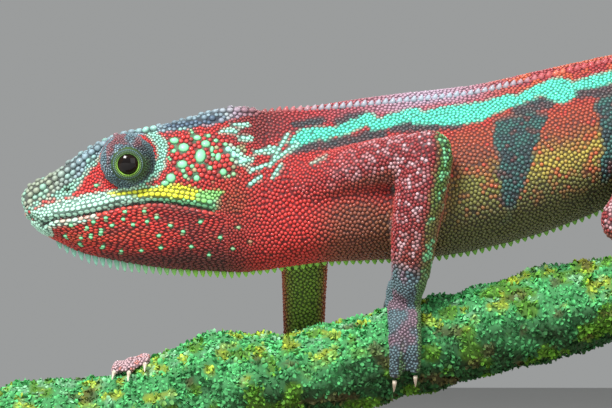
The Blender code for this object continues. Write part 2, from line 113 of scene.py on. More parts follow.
def bake_modifiers(piece):
    """Leaves the piece with the mesh that its modifiers make, and none of them."""
    graph = bpy.context.evaluated_depsgraph_get()
    mesh = bpy.data.meshes.new_from_object(piece.evaluated_get(graph))
    piece.modifiers.clear()
    piece.data = mesh
    mesh.shade_smooth()


def redrawn(name, bm, grain, rounds):
    """The bmesh's outer surface in even small faces, smoothed for some rounds."""
    piece = new_piece(name, bm)
    remesh = piece.modifiers.new("even_faces", "REMESH")
    remesh.mode = "VOXEL"
    remesh.voxel_size = grain * 0.001
    smooth = piece.modifiers.new("soften", "SMOOTH")
    smooth.factor = 0.5
    smooth.iterations = rounds
    bake_modifiers(piece)
    return piece


def places(mesh):
    """A mesh's points in millimetres, and their normals."""
    co = np.empty(len(mesh.vertices) * 3, np.float32)
    mesh.vertices.foreach_get("co", co)
    normal = np.empty(len(mesh.vertices) * 3, np.float32)
    mesh.vertex_normals.foreach_get("vector", normal)
    return co.reshape(-1, 3).astype(float) * 1000, normal.reshape(-1, 3).astype(float)


def put_back(mesh, points):
    mesh.vertices.foreach_set("co", (points * 0.001).astype(np.float32).ravel())
    mesh.update()


def bell(distance, width):
    return np.exp(-((distance / width) ** 2))


def axis_distance(points, centre, axis):
    """How far each point is from the line through centre along axis, and how far along it."""
    offset = points - centre
    along = offset @ axis
    return np.linalg.norm(offset - along[:, None] * axis, axis=1), along


TAIL_LINE = (  # every 10 mm from the pelvis, round the coil
    (61.3, 117.0), (71.3, 117.0), (81.3, 116.9), (91.2, 115.9), (100.7, 112.7), (108.1, 106.2),
    (111.4, 96.8), (109.2, 87.2), (102.0, 80.5), (92.3, 79.2), (83.8, 84.2), (80.7, 93.4),
    (84.7, 102.3), (93.9, 105.5), (102.1, 100.4), (102.8, 90.9), (94.9, 85.6), (87.0, 90.7),
    (89.7, 99.5), (98.5, 97.6), (95.6, 89.5),
)  # fmt: skip
TAIL_HALF_HEIGHT = (
    (0.0, 7.6), (12.0, 6.3), (30.0, 5.1), (60.0, 4.1), (95.0, 3.2), (130.0, 2.4), (165.0, 1.7), (200.0, 1.0),
)  # fmt: skip
TAIL_FLATNESS = 0.84


def smooth_line(line, between):
    """Points of a curve through the line's points (x, z), so many to each step."""
    points = np.array([(lx, 0.0, lz) for lx, lz in line])
    ends = np.concatenate([[2 * points[0] - points[1]], points, [2 * points[-1] - points[-2]]])
    curve = []
    for a, b, c, d in zip(ends, ends[1:], ends[2:], ends[3:]):
        for t in np.arange(between) / between:
            curve.append((2 * b + (c - a) * t + (2 * a - 5 * b + 4 * c - d) * t**2
                          + (3 * b - a - 3 * c + d) * t**3) / 2)
    return np.array([*curve, points[-1]])


TAIL_WAY = smooth_line(TAIL_LINE, 6)


def way_along(points, line):
    """Distance along a line of points, the line's direction there and the offset from it."""
    line = np.array(line, float)
    lengths = np.linalg.norm(np.diff(line, axis=0), axis=1)
    before = np.concatenate([[0], np.cumsum(lengths)])
    best = np.full(len(points), 1e9)
    along = np.zeros(len(points))
    heading, offset = np.zeros((len(points), 3)), np.zeros((len(points), 3))
    for i, (start, end) in enumerate(zip(line, line[1:])):
        run = (end - start) / lengths[i]
        t = np.clip((points - start) @ run, 0, lengths[i])
        away = points - start - t[:, None] * run
        gap = np.linalg.norm(away, axis=1)
        closer = gap < best
        best[closer], along[closer] = gap[closer], before[i] + t[closer]
        heading[closer], offset[closer] = run, away[closer]
    return along, heading, offset


hide = redrawn("hide", merged_solids(
    [n for n in sorted(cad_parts) if n.split("_")[0] in FLESH], SWELL), SKIN_GRAIN, 9)
points, normals = places(hide.data)
x, y, z = points.T
push = np.full(len(points), -(SWELL + SCALE_DEPTH))
on_head = np.clip((-57.5 - x) / 3.0, 0, 1)
over_mouth = z - np.interp(x, MOUTH[:, 0], MOUTH[:, 1])
push += on_head * (0.42 * bell(over_mouth - 1.5, 1.2) - 0.75 * bell(over_mouth, 0.5))
push += on_head * 0.25 * bell(over_mouth + 1.2, 0.8)
for side in SIDES:
    ring, along = axis_distance(points, mirrored(EYE, side), mirrored(GAZE, side))
    outside = (along > -4.0) & (y * side > 0)
    push -= outside * 0.55 * bell(ring - 6.7, 0.7)
    push += outside * 0.30 * bell(ring - 7.9, 0.8)
push -= 1.0 * bell(np.hypot(x - NOSTRIL[0], z - NOSTRIL[1]), 0.75)
push += 0.5 * bell(np.hypot(x + 62.0, z - 97.0), 6.0)
neck = bell(x + 46.5, 4.5) * bell(z - 97.0, 10.0)
push += neck * 0.28 * np.sin(x * 2.6 + z * 0.35)
push -= bell(x + 49.0, 2.2) * 0.5 * bell(z - 99.0, 9.0)
points += normals * push[:, None]
# The thin end of the tail shrinks most when it is smoothed, so it is set out from its middle line.
along, heading, offset = way_along(points, TAIL_WAY)
half = np.interp(along, *np.array(TAIL_HALF_HEIGHT).T)
outward = offset / np.maximum(np.linalg.norm(offset, axis=1), 1e-3)[:, None]
flat = np.hypot(outward[:, 1] / TAIL_FLATNESS, np.hypot(outward[:, 0], outward[:, 2]))
full = points - offset + outward * (half / flat - 0.8 * SCALE_DEPTH)[:, None]
share = (np.linalg.norm(offset, axis=1) < half + 3.0) * np.clip((along - 40.0) / 20.0, 0, 1)
share = share * (along < 198.5) * (x > 77.0)
put_back(hide.data, points + (full - points) * share[:, None])
# Webs between neighbouring turns of the coil are cut, and the slits closed.
bm = bmesh.new()
bm.from_mesh(hide.data)
turns = along.tolist()
webs = []
for face in bm.faces:
    reach = [turns[v.index] for v in face.verts]
    if max(reach) - min(reach) > 4.0 and face.verts[0].co.x > 0.077:
        webs.append(face)
bmesh.ops.delete(bm, geom=webs, context="FACES")
slits = [e for e in bm.edges if len(e.link_faces) == 1]
bmesh.ops.holes_fill(bm, edges=slits, sides=0)
bmesh.ops.recalc_face_normals(bm, faces=bm.faces)
bm.to_mesh(hide.data)
bm.free()
hide.data.shade_smooth()

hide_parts(*[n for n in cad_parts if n.split("_")[0] in FLESH])
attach(hide, "root")

# ---------------------------------------------------------------- markings
# The colours grow in the hide itself, so skin and scales take them from the same rules: where
# a place lies on the body decides its ground colour, and strokes of brighter pigment cross it.


def linear(code):
    """The linear colour of a hex code."""
    parts = np.array([int(code[i : i + 2], 16) for i in (0, 2, 4)]) / 255
    return np.where(parts <= 0.04045, parts / 12.92, ((parts + 0.055) / 1.055) ** 2.4)


RED, CRIMSON, MAROON = linear("d81008"), linear("a80c1e"), linear("5c0608")
ORANGE, RUST, OLIVE = linear("c8501a"), linear("94401a"), linear("74741c")
GOLD, LEAF, DEEP_LEAF = linear("b4a032"), linear("4f8a1e"), linear("2e4a12")
MINT, PALE_MINT, LIP_MINT = linear("7fe0a0"), linear("9be6cc"), linear("b9efd6")
TURQUOISE, TEAL, DEEP_TEAL = linear("4fe6c4"), linear("14665e"), linear("06383e")
LAVENDER, SLATE = linear("b39bb0"), linear("3c5870")
CROWN, STONE, YELLOW = linear("8aa9b4"), linear("8f9c86"), linear("e9ee22")
LIME, LID_BLUE, MAUVE = linear("8fd840"), linear("5f8795"), linear("8a5a6e")
WHITE_PINK, HAND_BLUE = linear("dcb4ba"), linear("5d7f88")

# Strokes are (x, z, half-width) along a broken line on the flank.
STRIPE = (
    ((-42.9, 103.8, 0.8), (-40.8, 105.4, 1.2), (-37.3, 105.9, 1.0)),
    ((-36.6, 105.5, 0.8), (-32.4, 107.0, 0.85), (-29.3, 108.2, 0.7), (-27.6, 109.1, 1.0)),
    ((-26.6, 107.5, 0.8), (-24.1, 108.2, 1.0), (-20.3, 109.5, 0.9), (-17.5, 110.7, 0.5)),
    ((-18.0, 108.8, 0.7), (-14.0, 109.3, 1.4), (-9.2, 109.7, 1.9), (-5.2, 110.2, 1.7),
     (-1.8, 111.5, 1.3), (2.2, 112.8, 1.1), (4.0, 112.4, 0.5)),
    ((5.1, 113.5, 0.8), (8.0, 115.0, 0.9), (10.5, 115.2, 1.6), (12.2, 114.9, 2.5), (14.0, 115.6, 1.0)),
    ((16.6, 116.0, 0.9), (22.0, 117.4, 1.1), (28.0, 118.6, 1.5), (33.0, 119.0, 1.0)),
    ((36.0, 119.2, 1.0), (43.0, 119.6, 1.4), (50.0, 119.4, 1.0), (57.0, 119.0, 0.7)),
)  # fmt: skip
STRIPE_SHADE = (
    ((-42.8, 102.4, 0.9), (-37.6, 103.3, 0.9), (-30.4, 104.1, 0.8), (-25.5, 105.6, 1.2)),
    ((-22.6, 107.2, 1.1), (-14.0, 107.0, 0.9), (-9.2, 107.4, 0.7)),
    ((-42.8, 107.9, 0.6), (-37.3, 108.8, 0.6)), ((-34.1, 108.6, 0.6), (-29.3, 110.0, 0.6)),
    ((3.0, 110.6, 0.8), (9.0, 112.0, 1.2)), ((15.5, 114.0, 1.2), (24.0, 114.8, 1.1), (34.0, 116.6, 1.0)),
)  # fmt: skip
NECK_STREAKS = (
    ((-47.4, 100.2, 0.5), (-45.7, 103.5, 0.6), (-44.5, 105.8, 0.4)),
    ((-48.3, 99.0, 0.5), (-45.8, 101.0, 0.7), (-42.9, 103.3, 0.6)),
    ((-52.1, 97.7, 0.45), (-48.9, 99.0, 0.5)), ((-47.4, 96.6, 0.5), (-46.0, 98.8, 0.6)),
    ((-52.5, 94.6, 0.45), (-50.3, 96.3, 0.5)), ((-51.4, 101.7, 0.5), (-47.8, 102.4, 0.9)),
    ((-39.3, 98.9, 0.5), (-36.5, 100.4, 0.55)), ((-54.6, 99.4, 0.7), (-52.4, 99.8, 0.9)),
    ((-56.8, 102.2, 1.0), (-54.0, 100.2, 0.7)), ((-58.6, 106.0, 0.5), (-55.4, 106.2, 0.6)),
    ((-56.0, 107.6, 0.4), (-53.0, 107.8, 0.5)), ((-54.2, 104.8, 0.5), (-52.2, 104.6, 0.6)),
)  # fmt: skip
LIP_TOP = np.array([
    (-100.0, 88.6), (-97.2, 89.8), (-94.9, 90.7), (-91.1, 91.9), (-86.1, 92.9), (-81.7, 93.6),
    (-76.0, 94.2), (-69.1, 94.8), (-65.0, 94.3), (-61.5, 93.5), (-59.0, 92.6),
])  # fmt: skip
CROWN_EDGE = np.array([
    (-100.0, 89.8), (-98.6, 90.6), (-95.5, 92.2), (-92.7, 93.6), (-90.5, 95.0), (-87.6, 96.6),
    (-84.8, 99.2), (-83.0, 102.0), (-78.0, 104.6), (-72.4, 105.6), (-66.3, 106.2),
    (-60.5, 107.4), (-54.0, 109.4), (-50.6, 110.1), (-48.0, 110.6),
])  # fmt: skip
LIP_YELLOW = (
    (-82.0, 93.0, 0.25), (-76.5, 93.0, 0.6), (-72.0, 93.1, 1.0), (-68.0, 93.3, 1.45),
    (-64.5, 93.0, 1.35), (-62.4, 92.4, 0.9),
)  # fmt: skip
LIP_END = ((-61.8, 92.0, 1.2), (-59.6, 92.6, 0.9), (-58.2, 93.2, 0.5))
CHEEK_RED = (
    ((-88.8, 92.9, 0.3), (-85.6, 94.9, 1.7), (-84.0, 97.4, 1.5), (-83.6, 99.3, 0.5)),
    ((-86.2, 93.4, 0.4), (-79.6, 94.5, 0.5)), ((-95.4, 91.5, 0.4), (-93.0, 91.8, 0.35)),
)  # fmt: skip
EYE_BACK = (
    (-73.2, 106.0, 0.9), (-70.4, 103.4, 1.1), (-70.2, 101.2, 1.0), (-70.6, 98.7, 1.0),
    (-72.2, 96.8, 1.0), (-74.4, 95.0, 0.8), (-79.0, 94.1, 0.4),
)  # fmt: skip
CHIN_PALE = (
    ((-99.5, 87.6, 1.2), (-97.0, 86.2, 1.6), (-94.4, 85.6, 1.0)),
    ((-94.0, 86.9, 0.6), (-88.0, 87.3, 0.5), (-84.0, 88.3, 0.4)),
)  # fmt: skip
SLATE_BAND = ((-69.2, 107.2, 0.6), (-64.2, 107.6, 0.9), (-60.4, 108.5, 0.9), (-58.0, 109.3, 0.5))
BARS = (  # x where each dark bar meets the stripe and where it runs out, and its half-width
    (3.2, 0.6, 5.6), (23.5, 20.5, 4.6), (41.5, 38.5, 4.8), (56.5, 55.5, 3.8), (-20.0, -22.5, 2.6),
)  # fmt: skip
BACK_LINE = np.array([(-100, 93), (-79, 106), (-57, 111), (-48, 111), (-25, 115), (13, 122), (32, 125),
                      (45, 126), (61, 124.6), (90, 124)])  # fmt: skip
BELLY_LINE = np.array([(-100, 88), (-90, 81), (-60, 77), (-40, 79), (-15, 80), (12, 86.5), (31, 94.6),
                       (45, 101.6), (61, 109), (90, 112)])  # fmt: skip


def cloud(points, size, seed=0):
    """Smooth random values from 0 to 1 that change over about size millimetres."""
    spot = points / size + seed * 19.37 + 512.5
    cell = np.floor(spot).astype(np.int64)
    share = spot - cell
    share = share * share * (3 - 2 * share)
    total = np.zeros(len(points))
    for corner in np.ndindex(2, 2, 2):
        mixed = (cell + corner) @ np.array([73856093, 19349663, 83492791])
        mixed = (mixed ^ (mixed >> 13)) * 1274126177 & 0x7FFFFFFF
        weight = np.prod(np.where(corner, share, 1 - share), axis=1)
        total += weight * ((mixed >> 7) & 0xFFFF) / 65535
    return total


def stroke(points, line, blur=0.35):
    """1 on a stroke and 0 off it, with a slightly ragged edge."""
    line = np.array(line)
    flat = points[:, [0, 2]]
    best = np.full(len(points), 1e3)
    for start, end in zip(line, line[1:]):
        run = end[:2] - start[:2]
        t = np.clip((flat - start[:2]) @ run / (run @ run), 0, 1)
        reach = start[2] + (end[2] - start[2]) * t
        away = np.linalg.norm(flat - start[:2] - t[:, None] * run, axis=1) - reach
        best = np.minimum(best, away)
    best += (cloud(points, 1.1, 3) - 0.5) * 0.7
    return np.clip(0.5 - best / (2 * blur), 0, 1)


def over(colour, other, mask):
    return colour + (other - colour) * np.clip(mask, 0, 1)[:, None]


def plain(colour, points):
    """The same colour at every place."""
    return np.tile(colour, (len(points), 1))


def step(value, start, end):
    share = np.clip((value - start) / (end - start), 0, 1)
    return share * share * (3 - 2 * share)


def trunk_colour(points):
    """Neck, trunk and the tail's root."""
    x, y, z = points.T
    ragged = (cloud(points, 2.6, 1) - 0.5) * 2
    fine = cloud(points, 0.9, 2)
    top = np.interp(x, BACK_LINE[:, 0], BACK_LINE[:, 1])
    bottom = np.interp(x, BELLY_LINE[:, 0], BELLY_LINE[:, 1])
    height = (z - bottom) / (top - bottom) + ragged * 0.03
    colour = plain(RED * 0.72, points)
    colour = over(colour, CRIMSON, step(height, 0.62, 0.85) * 0.8)
    flank = step(x, -18.0, -8.0)
    colour = over(colour, RUST * 0.9, flank * step(height, 0.68, 0.50))
    colour = over(colour, OLIVE, flank * step(height, 0.50, 0.34))
    colour = over(colour, GOLD, step(x, 2, 8) * bell(height - 0.36, 0.10) * step(x, 36, 26) * 0.9)
    # Deep green low on the flank and a darkened olive under the arm and along the belly make the trunk darker
    # towards the bottom: partly its own colour, partly painted shade.
    colour = over(colour, DEEP_LEAF, flank * step(height, 0.26, 0.12))
    belly = step(height, 0.34, 0.18) * step(x, -40.0, -30.0)
    colour = over(colour, OLIVE * 0.55, belly * 0.8)
    colour = over(colour, ORANGE * 0.62, flank * bell(height - 0.62, 0.10) * 0.7)
    speckle = step(cloud(points, 1.0, 72), 0.58, 0.74)
    colour = over(colour, ORANGE * 0.75, flank * speckle * step(height, 0.1, 0.25) * 0.5)
    colour = over(colour, RED * 0.8, step(cloud(points, 1.1, 73), 0.70, 0.80) * step(height, 0.1, 0.3) * 0.6)
    chest = bell(x + 31.0, 9.0) * step(height, 0.42, 0.25)
    colour = over(colour, RUST * 0.75, chest)
    colour = over(colour, RED, bell(x + 43.0, 6.0) * step(height, 0.5, 0.3) * 0.8)
    colour = over(colour, MAROON, step(x, -40.0, -50.0) * step(height, 0.72, 0.85) * 0.7)
    for upper, lower, width in BARS:
        middle = lower + (upper - lower) * np.clip((height - 0.15) / 0.5, 0, 1)
        reach = width * np.clip(0.30 + (height - 0.15) * 1.55, 0.2, 1.0) + ragged * 1.1
        inside = np.clip((reach - np.abs(x - middle)) / 0.7, 0, 1) * step(height, 0.72, 0.66)
        inside *= step(height, 0.08, 0.2)
        shade = over(plain(TEAL * 0.8, points), DEEP_TEAL, step(fine, 0.35, 0.7))
        shade = over(shade, MAROON, step(cloud(points, 1.5, 9), 0.66, 0.78) * 0.7)
        colour = over(colour, shade, inside)
    crest = step(height, 0.80, 0.90)
    colour = over(colour, CRIMSON * 0.9, crest * step(x, -48.0, -30.0) * 0.8)
    colour = over(colour, LAVENDER, crest * bell(x + 15.0, 13.0) * 0.95)
    streaks = step(np.sin(height * 60.0 + ragged * 1.4), -0.2, 0.7)
    colour = over(colour, ORANGE, crest * step(x, -6.0, 6.0) * streaks * 0.9)
    for line in STRIPE_SHADE:
        wide = [(px, pz, width + 0.35) for px, pz, width in line]
        colour = over(colour, DEEP_TEAL, stroke(points, wide, 0.4) * (0.75 + 0.25 * fine))
    for line in STRIPE:
        wide = [(px, pz, width * 1.15 + 0.3) for px, pz, width in line]
        colour = over(colour, TURQUOISE * (0.85 + 0.3 * fine[:, None]), stroke(points, wide))
    for line in NECK_STREAKS:
        colour = over(colour, PALE_MINT, stroke(points, line, 0.3))
    return colour


# Big plates and tubercles on the head: (x, z, half-length, half-height).
TEMPLE_PLATES = (
    (-66.1, 98.8, 1.35, 1.15), (-62.4, 100.6, 1.35, 2.0), (-65.9, 102.4, 1.4, 1.3), (-67.9, 103.9, 1.2, 0.9),
    (-61.4, 103.2, 1.2, 1.1), (-63.2, 104.5, 1.0, 0.8), (-58.8, 100.4, 0.75, 1.2), (-60.1, 102.0, 0.5, 1.0),
    (-57.7, 97.2, 0.9, 0.95), (-63.1, 95.9, 0.8, 0.85), (-68.4, 96.0, 1.2, 1.2), (-60.4, 98.0, 0.65, 0.6),
    (-55.6, 96.8, 0.6, 0.6), (-56.8, 102.1, 0.8, 0.9), (-55.6, 100.9, 0.7, 0.9), (-53.4, 99.8, 0.9, 0.8),
    (-53.4, 101.9, 0.5, 0.5), (-48.8, 103.7, 0.5, 0.7), (-83.9, 94.7, 0.7, 0.45), (-69.6, 94.9, 1.0, 0.7),
)  # fmt: skip
THROAT_STUDS = (
    (-77.9, 89.2), (-73.9, 89.3), (-71.4, 88.0), (-73.4, 87.2), (-76.3, 86.6), (-78.3, 87.7), (-80.7, 86.5),
    (-62.4, 87.1), (-85.9, 86.1), (-85.2, 84.2), (-87.3, 84.1), (-79.0, 81.5), (-70.7, 82.0), (-74.8, 81.5),
    (-87.7, 83.0), (-89.2, 86.6), (-84.5, 87.2), (-81.9, 88.0), (-66.0, 85.2), (-68.6, 86.4), (-64.4, 82.2),
    (-82.8, 82.4), (-90.6, 84.6), (-58.4, 84.0), (-60.8, 80.6), (-54.6, 86.0), (-52.2, 83.2), (-50.4, 88.4),
    (-47.6, 84.6), (-55.8, 81.8), (-49.0, 81.2), (-83.0, 85.2), (-71.0, 84.4), (-45.0, 82.6), (-43.2, 86.2),
)  # fmt: skip


def head_colour(points):
    x, y, z = points.T
    ragged = (cloud(points, 2.0, 5) - 0.5) * 2
    fine = cloud(points, 0.8, 6)
    lip_top = np.interp(x, LIP_TOP[:, 0], LIP_TOP[:, 1])
    mouth = np.interp(x, MOUTH[:, 0], MOUTH[:, 1])
    crown_edge = np.interp(x, CROWN_EDGE[:, 0], CROWN_EDGE[:, 1])
    colour = plain(RED * 0.85, points)
    colour = over(colour, MAROON * 1.3, step(fine, 0.45, 0.8) * 0.5)
    colour = over(colour, RUST * 0.8, bell(x + 55.0, 5.0) * bell(z - 90.0, 5.5) * 0.5)
    temple = step(np.hypot((x + 61.0) / 9.0, (z - 101.0) / 6.0), 1.05, 0.9)
    colour = over(colour, MINT * 0.85, temple * step(cloud(points, 1.0, 71), 0.68, 0.74))
    colour = over(colour, MAROON * 1.4, temple * step(cloud(points, 1.3, 75), 0.62, 0.75) * 0.7)
    colour = over(colour, OLIVE * 0.6, bell(x + 54.0, 3.5) * bell(z - 91.0, 4.5) * fine * 0.8)
    colour = over(colour, MAROON, step(x, -60, -54) * step(z, 102.0, 105.0) * 0.6)
    throat = step(z, mouth + 0.1, mouth - 0.4) * step(x + ragged, -51.0, -62.0)
    colour = over(colour, RED, throat)
    colour = over(colour, ORANGE, throat * bell(z - 84.6, 1.8) * bell(x + 82.0, 12.0) * 0.35)
    streaks = cloud(points * np.array([0.28, 1.0, 1.5]), 1.0, 74)
    colour = over(colour, MAROON, throat * step(streaks, 0.5, 0.75) * 0.55)
    colour = over(colour, ORANGE * 0.9, throat * step(streaks, 0.4, 0.2) * 0.4)
    deep = step(z + ragged * 0.6, 82.6, 79.6)
    colour = over(colour, MAROON, deep * 0.9)
    colour = over(colour, MAROON, step(x, -72.0, -60.0) * step(z, 90.5, 83.0) * 0.55)
    colour = over(colour, MAROON, bell(z - mouth + 0.9, 0.9) * bell(x + 68.0, 7.0) * 0.8)
    crown = step(z + ragged * 0.25, crown_edge - 0.25, crown_edge + 0.25)
    crown_hue = over(plain(CROWN * 0.85, points), STONE, step(x, -86.0, -95.0))
    crown_hue = over(crown_hue, PALE_MINT * 0.8, step(cloud(points, 1.9, 7), 0.55, 0.7) * 0.6)
    crown_hue = over(crown_hue, LAVENDER * 0.9, step(x, -62.0, -54.0) * 0.8)
    crown_hue = over(crown_hue, SLATE, stroke(points, SLATE_BAND, 0.5))
    colour = over(colour, crown_hue, crown)
    before_eye = step(x, -82.5, -84.5) * step(z, lip_top + 0.1, lip_top + 0.5) * (1 - crown)
    colour = over(colour, PALE_MINT * 0.65 + STONE * 0.25, before_eye)
    for line in CHEEK_RED:
        colour = over(colour, RED, stroke(points, line))
    colour = over(colour, PALE_MINT * 0.9, stroke(points, EYE_BACK))
    lip = step(z, mouth - 0.15, mouth + 0.15) * step(z, lip_top + 0.15, lip_top - 0.15)
    lip = lip * step(x + ragged * 0.6, -57.6, -60.0)
    colour = over(colour, over(plain(LIP_MINT, points), MINT, step(x, -78.0, -68.0)), lip)
    for line in CHIN_PALE:
        colour = over(colour, LIP_MINT, stroke(points, line))
    colour = over(colour, YELLOW, stroke(points, LIP_YELLOW, 0.25))
    colour = over(colour, LIME * 0.6 + MINT * 0.4, stroke(points, LIP_END, 0.3))
    for px, pz in THROAT_STUDS:
        colour = over(colour, MINT, step(np.hypot(x - px, z - pz), 0.62, 0.5))
    for px, pz, length, height in TEMPLE_PLATES:
        away = np.hypot((x - px) / length, (z - pz) / height)
        colour = over(colour, MINT, step(away, 1.0, 0.8) * (z > lip_top))
    for line in NECK_STREAKS:
        colour = over(colour, PALE_MINT, stroke(points, line, 0.3))
    # A dark line along the mouth: painted shade in the crease where the lips meet.
    colour = over(colour, MAROON * 0.3, bell(z - mouth, 0.22) * step(x, -59.0, -61.0) * step(x, -99.0, -97.0))
    # Dark green in the nostril: painted shade in its pit.
    colour = over(colour, DEEP_LEAF * 0.5, bell(np.hypot(x - NOSTRIL[0], z - NOSTRIL[1]), 0.55) * 1.3)
    return colour


def lid_colour(points):
    """The eye turrets: blue-grey, with worn maroon patches that run out from the lid, and painted shade in
    dark teal and green down their rear side.
    """
    side = np.sign(points[:, 1])
    centre = EYE * np.stack([np.ones_like(side), side, np.ones_like(side)], axis=1)
    gaze = GAZE * np.stack([np.ones_like(side), side, np.ones_like(side)], axis=1)
    offset = points - centre
    along = np.sum(offset * gaze, axis=1)
    ring = np.linalg.norm(offset - along[:, None] * gaze, axis=1)
    turn = np.arctan2(offset[:, 2], offset[:, 0])
    colour = plain(LID_BLUE * 0.75, points)
    colour = over(colour, CROWN * 0.9, step(cloud(points, 1.0, 4), 0.5, 0.75) * 0.7)
    patches = step(cloud(points, 1.9, 8) + 0.22 * np.cos(turn - 2.0), 0.56, 0.70) * step(ring, 3.3, 4.0)
    patches = patches * step(np.cos(turn - 2.0), -0.4, 0.4)
    colour = over(colour, MAROON * 2.0 + MAUVE * 0.12, patches * (0.55 + 0.4 * cloud(points, 0.7, 9)))
    # Dark teal and dark green on the turret's rear side: painted shade at the edge of the socket.
    colour = over(colour, DEEP_TEAL * 0.9, step(np.cos(turn + 0.1), 0.55, 0.85) * bell(ring - 4.4, 1.6) * 0.9)
    colour = over(colour, LEAF * 0.5, step(np.cos(turn + 0.7), 0.6, 0.9) * bell(ring - 3.6, 1.0) * 0.8)
    return over(colour, LIME * 0.5 + OLIVE * 0.4, step(ring, 3.1, 2.7))


def leg_colour(points, normals, shoulder):
    """Red in front and on top, green behind; shoulder is how near the place is to the trunk."""
    fine = cloud(points, 0.9, 12)
    ragged = cloud(points, 2.2, 13) - 0.5
    facing = normals[:, 0] + ragged * 0.35
    colour = plain(CRIMSON * 0.75, points)
    colour = over(colour, WHITE_PINK, step(fine, 0.55, 0.8) * 0.5 * step(facing, 0.3, -0.3))
    colour = over(colour, LEAF * 0.75, step(facing, 0.15, 0.5) * (1 - shoulder))
    colour = over(colour, RUST * 0.8, step(normals[:, 2], -0.2, -0.7) * 0.8)
    specks = step(cloud(points, 1.0, 18), 0.62, 0.74) * (1 - shoulder)
    colour = over(colour, WHITE_PINK * 0.95, specks * step(facing, 0.25, -0.1) * 0.85)
    colour = over(colour, MINT, specks * step(facing, 0.25, 0.5) * 0.9)
    return over(colour, RED * 0.75, shoulder * step(normals[:, 2], -0.4, 0.2) * 0.8)


def foot_colour(points, normals, far_front):
    fine = cloud(points, 0.8, 14)
    colour = plain(HAND_BLUE * 0.8, points)
    colour = over(colour, MAUVE, step(cloud(points, 1.9, 15), 0.45, 0.7) * 0.7)
    colour = over(colour, LEAF * 0.8, step(normals[:, 0] + fine * 0.3, 0.35, 0.7) * 0.8)
    pale = over(plain(WHITE_PINK * 0.85, points), ORANGE, step(fine, 0.6, 0.8) * 0.6)
    return over(colour, pale, far_front * step(points[:, 1], 6.0, 3.0))


def tail_colour(points, distance):
    """Bands of green and rust round the tail, each about as long as it is thick."""
    ragged = cloud(points, 1.8, 16) - 0.5
    fine = cloud(points, 0.8, 17)
    wave = np.sin(2 * math.pi * (distance - 6.0) / (17.0 - distance * 0.03) + ragged)
    colour = plain(RUST * 0.85, points)
    colour = over(colour, CRIMSON * 0.8, step(fine, 0.5, 0.8) * 0.6)
    colour = over(colour, OLIVE * 0.9, step(wave, 0.0, 0.9) * step(cloud(points, 1.1, 20), 0.35, 0.7) * 0.6)
    dark = over(plain(TEAL * 0.85, points), DEEP_LEAF, step(fine, 0.4, 0.8) * 0.7)
    return over(colour, dark * 0.8, step(wave, 0.1, -0.5) * 0.9)


# Which part of the animal each place belongs to, from the nearest solid.
PARTS = (
    ("eyelid", "eyelid"), ("head", "head"), ("jaw", "head"), ("neck", "trunk"), ("chest", "trunk"),
    ("belly", "trunk"), ("pelvis", "trunk"), ("upper", "leg"), ("forearm", "leg"), ("thigh", "leg"),
    ("shank", "leg"), ("hand", "foot"), ("foot", "foot"), ("tail", "tail"),
)  # fmt: skip
LEG_LINES = {
    "front_left": ((-41, -5.5, 94.2), (-15.9, -17.4, 100.2), (-19.4, -9.6, 76.0), (-20.6, -4.0, 62.0)),
    "front_right": ((-41, 5.5, 94.5), (-41.2, 17.4, 60.0), (-65.5, 14.2, 55.0), (-77.0, 4.0, 50.0)),
    "hind_left": ((41, -3, 110), (23.2, -19.4, 86.6), (45.5, -16.8, 82.0), (52.5, -4.0, 78.0)),
    "hind_right": ((42, 3, 110.5), (34, 20.8, 86.0), (56.5, 16.8, 83.5), (63.5, 4.0, 80.0)),
}  # fmt: skip
SPINE = ((-102, 0, 88), (-75, 0, 95), (-50, 0, 96), (-20, 0, 98), (15, 0, 104), (45, 0, 114), (64, 0, 117))
part_kind, part_name, tree_points, tree_faces = [], [], [], []
for node in sorted(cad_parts):
    kind = dict(PARTS).get(node.split("_")[0])
    if kind:
        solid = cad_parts[node].data
        first = len(tree_points)
        tree_points += [v.co * 1000 for v in solid.vertices]
        tree_faces += [[first + i for i in p.vertices] for p in solid.polygons]
        part_kind += [kind] * len(solid.polygons)
        part_name += ["_".join(node.split("_")[-2:])] * len(solid.polygons)
part_tree = BVHTree.FromPolygons(tree_points, tree_faces)
part_kind, part_name = np.array(part_kind), np.array(part_name)
trunk_faces = [f for f, kind in zip(tree_faces, part_kind) if kind == "trunk"]
trunk_tree = BVHTree.FromPolygons(tree_points, trunk_faces)


def parts_of(points):
    nearest = np.array([part_tree.find_nearest(Vector(p))[2] for p in points])
    return part_kind[nearest], part_name[nearest]


def line_of(kind, name):
    """The line down the middle of a part, for unrolling what lies round it."""
    if kind == "tail":
        return TAIL_WAY
    return LEG_LINES.get(name, SPINE) if kind in ("leg", "foot") else SPINE


